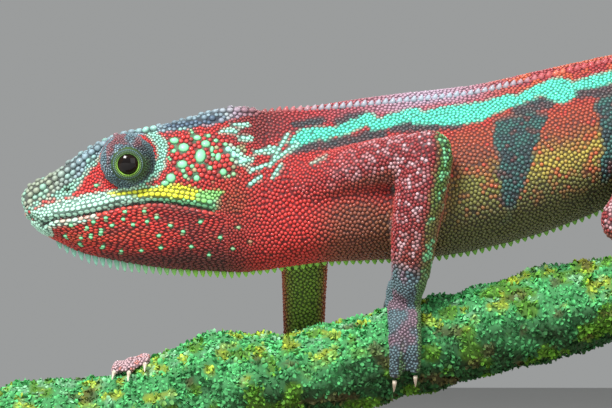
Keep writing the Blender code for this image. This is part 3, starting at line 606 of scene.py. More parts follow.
def body_colour(points, normals, kinds, names):
    """The colours at places on the hide: the pattern, with painted shade low on the flank and belly."""
    colour = np.zeros((len(points), 3))
    for kind in ("eyelid", "head", "trunk", "leg", "foot", "tail"):
        mine = kinds == kind
        p, n = points[mine], normals[mine]
        if kind == "head":
            onto_neck = step(p[:, 0] + cloud(p, 2.0, 22), -58.0, -48.5)
            colour[mine] = over(head_colour(p), trunk_colour(p), onto_neck)
        elif kind == "trunk":
            colour[mine] = trunk_colour(p)
        elif kind == "eyelid":
            colour[mine] = lid_colour(p)
        elif kind == "tail":
            along = way_along(p, TAIL_WAY)[0]
            colour[mine] = over(tail_colour(p, along), trunk_colour(p), step(along, 9.0, 3.0))
        elif kind == "leg":
            near = np.array([(trunk_tree.find_nearest(Vector(q), 12.0)[3] or 12.0) for q in p])
            shoulder = step(near, 6.5, 1.0)
            own = leg_colour(p, n, shoulder)
            far_leg = (names[mine] == "front_right")[:, None] * step(p[:, 2], 84.0, 78.0)[:, None]
            olive = over(plain(LEAF * 1.2 + GOLD * 0.3, p), ORANGE, bell(np.abs(n[:, 0]) - 1.0, 0.25))
            own = own * (1 - far_leg) + olive * far_leg
            for name in np.unique(names[mine]):
                leg = names[mine] == name
                joints = np.array(LEG_LINES[name], float)
                wrist = np.linalg.norm(np.diff(joints[:3], axis=0), axis=1).sum()
                along = way_along(p[leg], joints)[0] + 3.0 * (cloud(p[leg], 1.6, 19) - 0.5)
                paw = foot_colour(p[leg], n[leg], np.zeros(leg.sum()))
                own[leg] = over(own[leg], paw, step(along, wrist - 5.0, wrist - 0.5))
            colour[mine] = over(own, trunk_colour(p), step(near, 3.0, 0.6) * 0.7)
        else:
            colour[mine] = foot_colour(p, n, (names[mine] == "front_right").astype(float))
    tone = 0.86 + 0.28 * cloud(points, 0.7, 21)
    return np.clip(colour * tone[:, None], 0.002, 1.0)


def write_colours(mesh, name, colours):
    layer = mesh.attributes.new(name, "FLOAT_COLOR", "POINT")
    rgba = np.concatenate([colours, np.ones((len(colours), 1))], axis=1)
    layer.data.foreach_set("color", rgba.astype(np.float32).ravel())


class Wire:
    """One socket's value in a material; arithmetic on it adds math nodes."""

    def __init__(self, socket):
        self.socket, self.tree = socket, socket.id_data

    def node(self, kind, settings=None, values=None, out=0):
        made = self.tree.nodes.new(kind)
        for key, value in (settings or {}).items():
            setattr(made, key, value)
        for key, value in (values or {}).items():
            if isinstance(value, Wire):
                self.tree.links.new(value.socket, made.inputs[key])
            else:
                made.inputs[key].default_value = value
        return Wire(made.outputs[out])

    def maths(self, operation, first, second):
        return self.node("ShaderNodeMath", {"operation": operation}, {0: first, 1: second})

    def __add__(self, other):
        return self.maths("ADD", self, other)

    def __radd__(self, other):
        return self.maths("ADD", other, self)

    def __sub__(self, other):
        return self.maths("SUBTRACT", self, other)

    def __rsub__(self, other):
        return self.maths("SUBTRACT", other, self)

    def __mul__(self, other):
        return self.maths("MULTIPLY", self, other)

    def __rmul__(self, other):
        return self.maths("MULTIPLY", other, self)

    def __truediv__(self, other):
        return self.maths("DIVIDE", self, other)

    def noise(self, scale, detail=3.0):
        return self.node("ShaderNodeTexNoise", None, {"Vector": self, "Scale": scale, "Detail": detail})

    def ramp(self, *stops):
        """Colours (linear) at places from 0 to 1."""
        made = self.node("ShaderNodeValToRGB", None, {"Fac": self})
        elements = made.socket.node.color_ramp.elements
        while len(elements) < len(stops):
            elements.new(0.5)
        for element, (place, colour) in zip(elements, stops):
            element.position = place
            element.color = (*colour, 1.0)
        return made

    def mixed(self, first, second):
        """first and second blended as colours, by this value."""
        return self.node("ShaderNodeMix", {"data_type": "RGBA"}, {0: self, 6: first, 7: second}, out=2)


def new_material(name, roughness=0.5, coat=0.0):
    """A material, its shader node and its object coordinates."""
    material = bpy.data.materials.new(name)
    material.use_nodes = True
    shader = material.node_tree.nodes["Principled BSDF"]
    shader.inputs["Roughness"].default_value = roughness
    shader.inputs["Coat Weight"].default_value = coat
    coords = material.node_tree.nodes.new("ShaderNodeTexCoord")
    return material, shader, Wire(coords.outputs["Object"])


def feed(shader, name, wire):
    wire.tree.links.new(wire.socket, shader.inputs[name])


points, normals = places(hide.data)
kinds, names = parts_of(points)
hide_colours = body_colour(points, normals, kinds, names)
# The hide shows only in the gaps between the scales, so its colour is dimmed to 0.42 there: painted shade in
# the gaps.
write_colours(hide.data, "markings_and_shading", hide_colours * 0.42)
hide_material, shader, coords = new_material("hide", 0.75)
paint = coords.node("ShaderNodeAttribute", {"attribute_name": "markings_and_shading"})
feed(shader, "Base Color", coords.noise(900.0).mixed(paint, (0.02, 0.015, 0.02, 1.0)))
hide.data.materials.append(hide_material)

# ---------------------------------------------------------------- scales
# Separate domed scales stand close together all over the hide: pebbles on the trunk in upright
# rows, strips on the throat, plates and studs on the head, and very small grains on eyes and toes.
rng = np.random.default_rng(11)
hide_tree = BVHTree.FromPolygons([v.co * 1000 for v in hide.data.vertices],
                                 [p.vertices[:] for p in hide.data.polygons])


def scatter(mesh, density):
    """Random places on a mesh, in millimetres, so many to a square millimetre."""
    mesh.calc_loop_triangles()
    corners = np.empty(len(mesh.loop_triangles) * 3, np.int32)
    mesh.loop_triangles.foreach_get("vertices", corners)
    co, normal = places(mesh)
    corners = corners.reshape(-1, 3)
    a, b, c = co[corners[:, 0]], co[corners[:, 1]], co[corners[:, 2]]
    area = np.linalg.norm(np.cross(b - a, c - a), axis=1) / 2
    count = int(area.sum() * density)
    pick = rng.choice(len(area), count, p=area / area.sum())
    u, v = rng.random(count), rng.random(count)
    flip = u + v > 1
    u[flip], v[flip] = 1 - u[flip], 1 - v[flip]
    spot = a[pick] + u[:, None] * (b - a)[pick] + v[:, None] * (c - a)[pick]
    facing = normal[corners[pick]].mean(axis=1)
    return spot, facing / np.linalg.norm(facing, axis=1)[:, None]


def scale_gap(points, kinds):
    """The usual distance between scales."""
    x, y, z = points.T
    gap = np.select(
        [kinds == "eyelid", kinds == "head", kinds == "leg", kinds == "foot", kinds == "tail"],
        [0.44, 0.62, 0.70, 0.52, 0.68], 0.76)
    head = kinds == "head"
    gap = np.where(head & (z > np.interp(x, CROWN_EDGE[:, 0], CROWN_EDGE[:, 1])), 0.86, gap)
    temple = np.hypot((x + 62.0) / 8.0, (z - 100.5) / 5.0) < 1
    gap = np.where(head & temple, 0.92, gap)
    mouth = np.interp(x, MOUTH[:, 0], MOUTH[:, 1])
    gap = np.where(head & (z < mouth) & (x < -56), 0.53, gap)
    for side in SIDES:
        ring, along = axis_distance(points, mirrored(EYE, side), mirrored(GAZE, side))
        gap = np.where(head & (ring < 9.0) & (y * side > 0), np.minimum(gap, 0.5), gap)
    along = way_along(points, TAIL_WAY)[0]
    gap = np.where(kinds == "tail", 0.72 - along * 0.0016, gap)
    return gap * (0.92 + 0.22 * cloud(points, 3.2, 31))


def packed(points, gaps, order, taken):
    """Keeps places in the given order wherever no kept one is nearer than their gap."""
    size = 1.0
    cells = np.floor(points / size).astype(int).tolist()
    spots, widths, kept = points.tolist(), gaps.tolist(), []
    around = [(i, j, k) for i in (-1, 0, 1) for j in (-1, 0, 1) for k in (-1, 0, 1)]
    for index in order.tolist():
        px, py, pz = spots[index]
        width = widths[index]
        ci, cj, ck = cells[index]
        free = True
        for i, j, k in around:
            for qx, qy, qz, other in taken.get((ci + i, cj + j, ck + k), ()):
                need = (width + other) * 0.5
                if (px - qx) ** 2 + (py - qy) ** 2 + (pz - qz) ** 2 < need * need:
                    free = False
                    break
            if not free:
                break
        if free:
            taken.setdefault((ci, cj, ck), []).append((px, py, pz, width))
            kept.append(index)
    return np.array(kept, int)


def on_flank(x, z, side):
    """Root and normal where a line from the side meets the hide, or None."""
    spot, normal, _, _ = hide_tree.ray_cast(Vector((x, side * 60.0, z)), Vector((0, -side, 0)))
    if spot is None:
        return None
    return np.array(spot), np.array(normal)


plates = []  # each is (root, normal, direction, half-length, half-width, height)


def add_plate(x, z, length, width, height, slope=0.0, sides=SIDES):
    for side in sides:
        hit = on_flank(x, z, side)
        if hit is None:
            continue
        direction = np.array([math.cos(slope), 0.0, math.sin(slope)])
        plates.append((*hit, direction, length, width, height))


def add_row(line, spacing, length, width, height, lift=0.0):
    """Plates in a row along a line on the head; each turns to follow it."""
    line = np.array(line)
    runs = np.hypot(*np.diff(line[:, :2], axis=0).T)
    before = np.concatenate([[0], np.cumsum(runs)])
    for s in np.arange(spacing / 2, before[-1], spacing):
        px, pz = np.interp(s, before, line[:, 0]), np.interp(s, before, line[:, 1])
        qx, qz = np.interp(s + 0.3, before, line[:, 0]), np.interp(s + 0.3, before, line[:, 1])
        size = 1 + rng.uniform(-0.12, 0.12)
        add_plate(px, pz + lift, length * size, width * size, height, math.atan2(qz - pz, qx - px))


CANTHUS = (
    (-98.6, 92.6), (-97.3, 93.7), (-95.2, 94.8), (-93.3, 96.1), (-90.5, 98.0), (-88.3, 99.5),
    (-86.4, 100.9), (-83.9, 102.8), (-81.3, 104.2), (-78.8, 105.4), (-76.6, 106.0), (-72.0, 106.6),
)  # fmt: skip
CASQUE_RIM = ((-72.0, 107.4), (-68.0, 108.6), (-64.0, 109.6), (-60.0, 110.4), (-56.0, 110.9), (-51.0, 111.0))
add_row(CANTHUS, 1.55, 0.82, 0.74, 0.72)
add_row(CANTHUS[:8], 1.35, 0.66, 0.56, 0.48, lift=-1.35)
add_row(CASQUE_RIM, 1.5, 0.78, 0.66, 0.6)
for px in np.arange(-98.5, -49.0, 1.6):  # studs on the crown, seen from above
    for py in (-5.4, -3.6, -1.8, 0.0, 1.8, 3.6, 5.4):
        above = Vector((px + rng.uniform(-0.3, 0.3), py + rng.uniform(-0.3, 0.3), 130.0))
        spot, normal, _, _ = hide_tree.ray_cast(above, Vector((0, 0, -1)))
        if spot is None or normal.z < 0.5 or any(np.linalg.norm(spot - Vector(p[0])) < 1.5 for p in plates):
            continue
        if spot.z > np.interp(spot.x, CROWN_EDGE[:, 0], CROWN_EDGE[:, 1]):
            size = rng.uniform(0.6, 0.8)
            plates.append((np.array(spot), np.array(normal), np.array([1.0, 0, 0]), size, size, 0.62))
add_row([(px, pz + 0.62) for px, pz in MOUTH[2:]], 1.3, 0.66, 0.52, 0.20)
add_row([(px, pz + 1.62) for px, pz in MOUTH[3:]], 1.2, 0.60, 0.46, 0.20)
add_row([(px, pz + 2.5) for px, pz in MOUTH[4:]], 1.1, 0.55, 0.42, 0.20)
add_row([(px, pz - 0.60) for px, pz in MOUTH[2:]], 1.3, 0.66, 0.46, 0.20)
for px, pz, length, height in TEMPLE_PLATES:
    add_plate(px, pz, length * 0.84, height * 0.84, 0.5)
for px, pz in THROAT_STUDS:
    add_plate(px, pz, 0.52, 0.36, 0.36)
for line in NECK_STREAKS:
    add_row(line, 0.95, 0.52, 0.45, 0.30)

roots, facings = scatter(hide.data, 26.0)
root_kinds, root_names = parts_of(roots)
gaps = scale_gap(roots, root_kinds)
claimed = np.zeros(len(roots), bool)
for root, normal, direction, length, width, height in plates:
    near = np.flatnonzero(np.abs(roots[:, 0] - root[0]) < 3.0)
    near = near[np.abs(roots[near, 2] - root[2]) < 3.0]
    near = near[np.abs(roots[near, 1] - root[1]) < 3.0]
    along = direction - normal * (direction @ normal)
    along /= np.linalg.norm(along)
    away = roots[near] - root
    reach = gaps[near] * 0.42
    inside = (away @ along / (length + reach)) ** 2
    inside += (away @ np.cross(normal, along) / (width + reach)) ** 2
    claimed[near[inside < 1.0]] = True
for side in SIDES:  # the lid's opening stays clear for the eyeball and the lid's own rim
    ring, along = axis_distance(roots, mirrored(EYE, side), mirrored(GAZE, side))
    claimed |= (ring < 2.9) & (along > 0) & (roots[:, 1] * side > 0)
order_key = np.zeros(len(roots))
headings = np.zeros((len(roots), 3))
for kind in ("eyelid", "head", "trunk", "leg", "foot", "tail"):
    for name in np.unique(root_names[root_kinds == kind]):
        mine = (root_kinds == kind) & (root_names == name)
        along, heading, _ = way_along(roots[mine], line_of(kind, name))
        order_key[mine] = along
        headings[mine] = heading
headings[(root_kinds == "head") | (root_kinds == "trunk")] = (1.0, 0.0, 0.0)
x, y, z = roots.T
throat = (root_kinds == "head") & (x < -57) & (z < np.interp(x, MOUTH[:, 0], MOUTH[:, 1]) - 0.9)
order_key = np.where(throat, -z, order_key)
stretch = np.where(throat, 0.5, 1.0)
order = np.lexsort((order_key,))
free = order[~claimed[order]]
spread_out = roots * np.stack([stretch, np.ones(len(roots)), np.ones(len(roots))], axis=1)
spread_out[throat, 0] -= 500.0
kept = packed(spread_out, gaps, free, {})

scale_roots = roots[kept]
length = gaps[kept] * 0.60 * np.where(throat[kept], 1.7, 1.0)
width = gaps[kept] * 0.60 * np.where(throat[kept], 0.92, 1.0)
height = 0.33 * gaps[kept] * np.where(root_kinds[kept] == "foot", 0.8, 1.0)
height *= 0.9 + 0.3 * rng.random(len(kept))
plate_roots = np.array([p[0] for p in plates])
plate_kinds, plate_names = parts_of(plate_roots)
scale_rows = {
    "root": np.concatenate([scale_roots, plate_roots]),
    "normal": np.concatenate([facings[kept], [p[1] for p in plates]]),
    "heading": np.concatenate([headings[kept], [p[2] for p in plates]]),
    "length": np.concatenate([length, [p[3] for p in plates]]),
    "width": np.concatenate([width, [p[4] for p in plates]]),
    "height": np.concatenate([height, [p[5] for p in plates]]),
    "kind": np.concatenate([root_kinds[kept], plate_kinds]),
    "name": np.concatenate([root_names[kept], plate_names]),
}
is_plate = np.arange(len(scale_rows["kind"])) >= len(kept)


def scale_shape(sides, rings):
    """Points and faces of a domed scale of unit radius and height; rings are (radius, height)."""
    bm = bmesh.new()
    loops = []
    for radius, height in rings:
        turn = [2 * math.pi * (i + 0.5) / sides for i in range(sides)]
        loops.append([bm.verts.new((radius * math.cos(t), radius * math.sin(t), height)) for t in turn])
    for low, high in zip(loops, loops[1:]):
        for i in range(sides):
            bm.faces.new((low[i], low[i - 1], high[i - 1], high[i]))
    tip = bm.verts.new((0, 0, 1.0))
    for i in range(sides):
        bm.faces.new((loops[-1][i], loops[-1][i - 1], tip))
    bm.faces.new(loops[0])
    bmesh.ops.recalc_face_normals(bm, faces=bm.faces)
    shape = np.array([v.co[:] for v in bm.verts])
    bm.verts.index_update()
    faces = [[v.index for v in f.verts] for f in bm.faces]
    bm.free()
    return shape, faces


def copies(name, shape, faces, origins, axes, sizes, unrolled=None):
    """One mesh of many copies of a shape; axes are (n, 3, 3) rows and sizes (n, 3)."""
    count, points_each = len(origins), len(shape)
    local = shape[None] * sizes[:, None, :]
    world = np.einsum("nvk,nkj->nvj", local, axes) + origins[:, None, :]
    loops = np.array([i for f in faces for i in f])
    totals = np.array([len(f) for f in faces])
    mesh = bpy.data.meshes.new(name)
    mesh.vertices.add(count * points_each)
    mesh.loops.add(count * len(loops))
    mesh.polygons.add(count * len(faces))
    mesh.vertices.foreach_set("co", (world * 0.001).astype(np.float32).ravel())
    shift = np.arange(count)[:, None] * points_each
    mesh.loops.foreach_set("vertex_index", (loops[None] + shift).astype(np.int32).ravel())
    starts = np.concatenate([[0], np.cumsum(totals)[:-1]])
    starts = starts[None] + np.arange(count)[:, None] * len(loops)
    mesh.polygons.foreach_set("loop_start", starts.astype(np.int32).ravel())
    if unrolled is not None:
        layer = mesh.uv_layers.new(name="OFBake")
        patch = (shape[:, :2] * 0.0014)[loops][None] + unrolled[:, None, :]
        layer.data.foreach_set("uv", np.clip(patch, 0, 1).astype(np.float32).ravel())
    mesh.update(calc_edges=True)
    mesh.validate()
    mesh.shade_smooth()
    piece = bpy.data.objects.new(name, mesh)
    scene.collection.objects.link(piece)
    return piece


def frames(normals, headings, twist=None):
    """Rows: along the heading on the surface, across it, and out of it."""
    along = headings - normals * np.sum(headings * normals, axis=1)[:, None]
    flat = np.linalg.norm(along, axis=1) < 0.1
    along[flat] = np.cross(normals[flat], (0.3, 0.5, 0.8))
    along /= np.linalg.norm(along, axis=1)[:, None]
    across = np.cross(normals, along)
    if twist is not None:
        c, s = np.cos(twist)[:, None], np.sin(twist)[:, None]
        along, across = along * c + across * s, across * c - along * s
    return np.stack([along, across, normals], axis=1)


def unroll(roots, kinds, names):
    """Where each root lies on a hide slit along its underside and rolled flat, from 0 to 1."""
    flat = np.zeros((len(roots), 2))
    for kind in np.unique(kinds):
        for name in np.unique(names[kinds == kind]):
            mine = (kinds == kind) & (names == name)
            along, heading, offset = way_along(roots[mine], line_of(kind, name))
            across = np.cross(heading, (0.0, 1.0, 0.0))
            turn = np.arctan2(offset[:, 1], np.sum(offset * across, axis=1))
            flat[mine, 0] = 0.01 + 0.98 * along / 205.0
            flat[mine, 1] = 0.01 + 0.98 * (turn / (2 * math.pi) + 0.5)
    return flat


scale_material, shader, coords = new_material("scales", 0.42, 0.06)
shader.inputs["Specular IOR Level"].default_value = 0.32
paint = coords.node("ShaderNodeAttribute", {"attribute_name": "markings_and_shading"})
grain = coords.noise(2600.0)
tinted = (grain * 0.12).mixed(paint, (0.9, 0.86, 0.8, 1.0))
shade = (coords.noise(1500.0) * 0.6).mixed(tinted, paint)
feed(shader, "Base Color", shade)
feed(shader, "Roughness", 0.34 + coords.noise(700.0) * 0.22)
DOME = scale_shape(6, [(1.0, -0.5), (0.86, 0.62), (0.45, 0.95)])
PEBBLE = scale_shape(6, [(1.0, -0.5), (0.74, 0.74)])
PLATE = scale_shape(10, [(1.0, -0.4), (0.95, 0.3), (0.76, 0.72), (0.42, 0.94)])
COATS = (  # piece, which scales are on it and their shape
    ("head_plates", "head", PLATE), ("head_scales", "head", DOME), ("eyelid_scales", "eyelid", PEBBLE),
    ("trunk_scales", "trunk", PEBBLE), ("leg_scales", "leg", PEBBLE), ("foot_scales", "foot", PEBBLE),
    ("tail_scales", "tail", PEBBLE),
)
NODE_WORDS = {
    "head": ("head", "jaw"), "eyelid": ("eyelid",), "trunk": ("neck", "chest", "belly", "pelvis"),
    "leg": ("upper", "forearm", "thigh", "shank"), "foot": ("hand", "foot"), "tail": ("tail",),
}
MOST = 190000  # triangles to a piece
scale_colours = body_colour(scale_rows["root"], scale_rows["normal"], scale_rows["kind"], scale_rows["name"])
unrolled = unroll(scale_rows["root"], scale_rows["kind"], scale_rows["name"])
for label, kind, (shape, faces) in COATS:
    wanted = is_plate if label == "head_plates" else ~is_plate | (kind != "head")
    mine = np.flatnonzero((scale_rows["kind"] == kind) & wanted)
    mine = mine[np.argsort(scale_rows["root"][mine, 0])]
    triangles = sum(len(f) - 2 for f in faces)
    parts = max(1, math.ceil(len(mine) * triangles / MOST))
    for number, group in enumerate(np.array_split(mine, parts), 1):
        rows = {key: value[group] for key, value in scale_rows.items()}
        axes = frames(rows["normal"], rows["heading"], rng.normal(0, 0.12, len(group)))
        sizes = np.stack([rows["length"], rows["width"], rows["height"]], axis=1)
        coat = copies(f"{label}_{number}", shape, faces, rows["root"], axes, sizes, unrolled[group])
        # Each scale is darker towards its base than at its tip: painted shade in the seams between the
        # scales.
        lift = np.clip(shape[:, 2], 0, 1) * 0.62 + 0.38
        painted = scale_colours[group][:, None, :] * lift[None, :, None]
        write_colours(coat.data, "markings_and_shading", painted.reshape(-1, 3))
        coat.data.materials.append(scale_material)
        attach(coat, "root")
        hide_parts(*[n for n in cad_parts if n.split("_")[0] in NODE_WORDS[kind]])

# ---------------------------------------------------------------- crests
# A comb of small cones runs down the spine from the casque to the tail, and another under the
# chin, throat and belly; the longest hang from the chin.


def edge_hit(x, up):
    """The hide's highest or lowest place at this x."""
    spine = np.array(SPINE, float)
    start = Vector((x, 0, np.interp(x, spine[:, 0], spine[:, 2])))
    spot, _, _, _ = hide_tree.ray_cast(start, Vector((0, 0, up)))
    return None if spot is None else np.array(spot)


CONE = scale_shape(8, [(1.0, -0.35), (0.72, 0.35), (0.34, 0.78)])
cones = []
for cx in np.arange(-49.5, 74.0, 1.5):
    top = edge_hit(cx, 1.0)
    tall = 0.95 + 0.3 * rng.random() - 0.2 * step(np.array(cx), 20.0, 70.0)
    cones.append((top, (0.25, 0, 1.0), 0.84, 0.62, tall))
for cx in np.arange(-92.4, 33.0, 1.5):
    low = edge_hit(cx, -1.0)
    tall = 0.85 + 0.75 * math.exp(-(((cx + 82.0) / 9.0) ** 2)) + 0.35 * (cx < -52) + 0.25 * rng.random()
    low = low - np.array([0.0, 0.0, 0.2])
    cones.append((low, (0.15, 0, -1.0), 0.74, 0.6, tall))
cone_roots = np.array([c[0] for c in cones])
cone_out = np.array([c[1] for c in cones], float)
cone_out /= np.linalg.norm(cone_out, axis=1)[:, None]
cone_kinds, cone_names = parts_of(cone_roots)
sizes = np.array([c[2:] for c in cones])
axes = frames(cone_out, np.repeat([[1.0, 0.0, 0.0]], len(cones), axis=0))
crest = copies("crest_cones", *CONE, cone_roots, axes, sizes, unroll(cone_roots, cone_kinds, cone_names))
base = body_colour(cone_roots, cone_out, cone_kinds, cone_names)
cx = cone_roots[:, 0]
below = cone_out[:, 2] < 0
pale = over(plain(PALE_MINT, cx), LIME, step(cx, -86.0, -62.0))
pale = over(pale, LEAF * 1.2, step(cx, -40.0, -10.0) * 0.5)
upper = over(base * 1.2 + 0.05, CROWN * 1.1, step(cx, -46, -36) * step(cx, 10, 0) * 0.75)
cone_colour = np.where(below[:, None], pale, upper)
# Each cone is darker towards its base: painted shade where it meets the hide.
lift = np.clip(CONE[0][:, 2], 0, 1) * 0.3 + 0.7
write_colours(crest.data, "markings_and_shading", (cone_colour[:, None, :] * lift[None, :, None]).reshape(-1, 3))
crest.data.materials.append(scale_material)
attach(crest, "root")
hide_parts("head", "jaw", "neck", "chest", "belly", "pelvis")

# ---------------------------------------------------------------- eyes
# A dark glossy ball turns inside the fused lids, which close on it in a small round opening
# rimmed with two circles of yellow-green grains.
BALL_RADIUS = 2.7
eye_material, shader, coords = new_material("eyeball", 0.05, 0.08)
shader.inputs["Specular IOR Level"].default_value = 0.22
shader.inputs["Coat Roughness"].default_value = 0.03
paint = coords.node("ShaderNodeAttribute", {"attribute_name": "iris"})
feed(shader, "Base Color", (coords.noise(3000.0) * 0.35).mixed(paint, (0.004, 0.003, 0.003, 1.0)))
for side, word in zip(SIDES, ("left", "right")):
    gaze, centre = mirrored(GAZE, side), mirrored(EYE, side)
    middle = centre + gaze * EYEBALL_DEPTH
    bm = bmesh.new()
    bmesh.ops.create_icosphere(bm, subdivisions=5, radius=BALL_RADIUS)
    ball = new_piece(f"eyeball_{word}", bm)
    spots, _ = places(ball.data)
    spots = spots * 0.001
    put_back(ball.data, spots + middle)
    spread = np.degrees(np.arccos(np.clip((spots / np.linalg.norm(spots, axis=1)[:, None]) @ gaze, -1, 1)))
    iris = np.repeat([[0.008, 0.006, 0.006]], len(spots), axis=0)
    iris = over(iris, linear("3a2a10"), bell(spread - 36.0, 2.5) * 0.7)
    iris = over(iris, linear("1c120c"), step(spread, 30.0, 36.0))
    write_colours(ball.data, "iris", iris)
    ball.data.materials.append(eye_material)
    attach(ball, "root")
    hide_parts(f"eye_{word}")

    out = np.cross(gaze, (0.0, 0.0, 1.0))
    out /= np.linalg.norm(out)
    up = np.cross(out, gaze)
    grains = []
    circles = ((2.24, 46, 1.78, 0.17), (2.55, 48, 1.68, 0.19), (2.9, 48, 1.42, 0.24))
    for radius, count, forward, size in circles:
        for i in range(count):
            turn = 2 * math.pi * (i + 0.5 * (radius > 2.5)) / count
            away = math.cos(turn) * out + math.sin(turn) * up
            grains.append((middle + gaze * forward + away * radius, gaze * 0.8 + away * 0.6, size))
    grain_roots = np.array([g[0] for g in grains])
    grain_out = np.array([g[1] for g in grains])
    grain_out /= np.linalg.norm(grain_out, axis=1)[:, None]
    size = np.array([g[2] for g in grains])
    axes = frames(grain_out, np.repeat([out], len(grains), axis=0))
    flat = unroll(grain_roots, np.full(len(grains), "eyelid"), np.full(len(grains), word))
    rim = copies(f"lid_rim_{word}", *CONE, grain_roots, axes, np.stack([size, size, size], axis=1), flat)
    # The grains are lime low on the rim and dark green high on it: the lime is partly the rim's own colour,
    # and the dark above is partly painted shade under the upper lid.
    low_side = step(grain_roots[:, 2] - middle[2], 1.5, -1.5)
    hue = over(plain(LEAF * 0.5, grains), LIME * 0.7 + YELLOW * 0.1, low_side)
    hue[46:] = hue[46:] * 0.55 + LID_BLUE * 0.2
    hue[94:] = over(hue[94:] * 0.4, LID_BLUE * 0.7, 0.7 * np.ones(len(hue) - 94))
    write_colours(rim.data, "markings_and_shading", np.repeat(hue, len(CONE[0]), axis=0))
    rim.data.materials.append(scale_material)
    bm = bmesh.new()
    collar = [(2.05, 1.35), (2.2, 1.75), (2.45, 1.82), (2.9, 1.5), (3.4, 0.9), (3.6, 0.2)]
    loops = []
    for radius, forward in collar:
        ring = []
        for i in range(48):
            turn = 2 * math.pi * i / 48
            place = middle + gaze * forward + (math.cos(turn) * out + math.sin(turn) * up) * radius
            ring.append(bm.verts.new(Vector(place) * 0.001))
        loops.append(ring)
    for low, high in zip(loops, loops[1:]):
        for i in range(48):
            bm.faces.new((low[i - 1], low[i], high[i], high[i - 1]))
    bmesh.ops.recalc_face_normals(bm, faces=bm.faces)
    lid = new_piece(f"lid_collar_{word}", bm)
    spots, facing = places(lid.data)
    write_colours(lid.data, "markings_and_shading", np.repeat([LEAF * 0.45], len(spots), axis=0))
    lid.data.materials.append(hide_material)
    for piece in (rim, lid):
        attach(piece, "root")
        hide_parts(f"eyelid_{word}")

# ---------------------------------------------------------------- claws
# Five short curved claws of pale horn on each foot, with darker streaks.
claw_nodes = [n for n in sorted(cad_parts) if n.startswith("claw_")]
bm = merged_solids(claw_nodes)
claws = new_piece("claws", bm)
smooth = claws.modifiers.new("round", "SUBSURF")
smooth.levels = 1
smooth.render_levels = 1
bake_modifiers(claws)
claw_material, shader, coords = new_material("claw_horn", 0.25, 0.4)
streaks = coords.node("ShaderNodeMapping", None, {"Vector": coords, "Scale": (1.0, 1.0, 0.3)}).noise(900.0)
feed(shader, "Base Color", streaks.ramp((0.3, (0.42, 0.33, 0.24)), (0.7, (0.75, 0.68, 0.56))))
claws.data.materials.append(claw_material)
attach(claws, "root")
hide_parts(*claw_nodes)

# ---------------------------------------------------------------- perch
# A cut length of branch grown over with mint lichen and moss, with bare sawn ends; pale mint where it faces
# up and dark green where it faces down are painted light and shade.
BARK_GRAIN = 0.75
bark = redrawn("bark", merged_solids(["perch"]), BARK_GRAIN, 3)
points, normals = places(bark.data)
lumps = cloud(points, 6.0, 51) * 1.9 + cloud(points, 2.6, 52) * 0.8 + cloud(points, 1.0, 53) * 0.25
ways = points @ np.array([(0.993, 0.0, 0.122), (0.976, 0.0, 0.218)]).T
first, last = ways[:, 0].min(), ways[:, 1].max()
at_end = np.maximum(bell(ways[:, 0] - first, 0.9), bell(ways[:, 1] - last, 0.9))
put_back(bark.data, points + normals * ((lumps - 1.6) * (1 - at_end))[:, None])
points, normals = places(bark.data)
LICHEN, LICHEN_PALE, MOSS = linear("5fd07a"), linear("a6efb8"), linear("6fb022")
MOSS_IN_SHADE, MOSS_LIGHT, BARK = linear("1c5a24"), linear("c2d83a"), linear("6a5a2c")


def perch_colour(points, normals):
    # How far each place faces up sets its colour: dark green facing down, dimmed lichen at the sides, full
    # lichen with pale flecks on top. This is painted light and shade.
    lit = normals[:, 2] + (cloud(points, 3.0, 54) - 0.5) * 0.9
    colour = plain(MOSS_IN_SHADE, points)
    colour = over(colour, LICHEN * 0.6, step(lit, -0.9, 0.1))
    colour = over(colour, LICHEN, step(lit, -0.2, 0.5))
    colour = over(colour, MOSS, step(cloud(points, 4.0, 55), 0.55, 0.66) * 0.85)
    colour = over(colour, MOSS_LIGHT, step(cloud(points, 2.6, 56), 0.62, 0.72) * step(lit, 0.1, 0.6) * 0.9)
    colour = over(colour, LICHEN_PALE, step(cloud(points, 1.6, 57), 0.6, 0.75) * step(lit, 0.2, 0.8) * 0.8)
    return over(colour, BARK, step(cloud(points, 3.4, 58), 0.76, 0.84) * 0.7)


wood = at_end[:, None] * step(np.abs(normals[:, 0]), 0.75, 0.9)[:, None]
# The branch surface under the moss tufts is dimmed to 0.45, the sawn ends not: painted shade under the tufts.
bark_colour = perch_colour(points, normals) * 0.45
rings = np.sin(np.hypot(points[:, 1], points[:, 2] - np.where(points[:, 0] < 0, 44.0, 83.0)) * 4.0)
end_wood = over(plain(linear("b98f58"), points), linear("7a5630"), step(rings, 0.2, 0.9) * 0.7)
write_colours(bark.data, "markings_and_shading", bark_colour * (1 - wood) + end_wood * wood)
bark_material, shader, coords = new_material("bark", 0.9)
paint = coords.node("ShaderNodeAttribute", {"attribute_name": "markings_and_shading"})
feed(shader, "Base Color", (coords.noise(1200.0) * 0.5).mixed(paint, (0.03, 0.03, 0.015, 1.0)))
bark.data.materials.append(bark_material)
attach(bark, "root")
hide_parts("perch")

leaf = np.array([
    (0, -0.28, 0), (0, 0.28, 0), (0.45, -0.42, 0.34), (0.5, 0.4, 0.30), (0.95, -0.22, 0.42),
    (1.0, 0.24, 0.5), (0.5, 0.0, 0.52),
])  # fmt: skip
leaf_faces = [[0, 6, 2], [1, 3, 6], [0, 1, 6], [2, 6, 4], [3, 5, 6], [6, 5, 4]]
tuft_spots, tuft_out = scatter(bark.data, 3.4)
ways = tuft_spots @ np.array([(0.993, 0.0, 0.122), (0.976, 0.0, 0.218)]).T
ends = (ways[:, 0] < first + 1.4) | (ways[:, 1] > last - 1.4)
tuft_spots, tuft_out = tuft_spots[~ends], tuft_out[~ends]
moss_material, shader, coords = new_material("moss", 0.85)
paint = coords.node("ShaderNodeAttribute", {"attribute_name": "markings_and_shading"})
feed(shader, "Base Color", (coords.noise(1500.0) * 0.3).mixed(paint, (0.02, 0.03, 0.01, 1.0)))
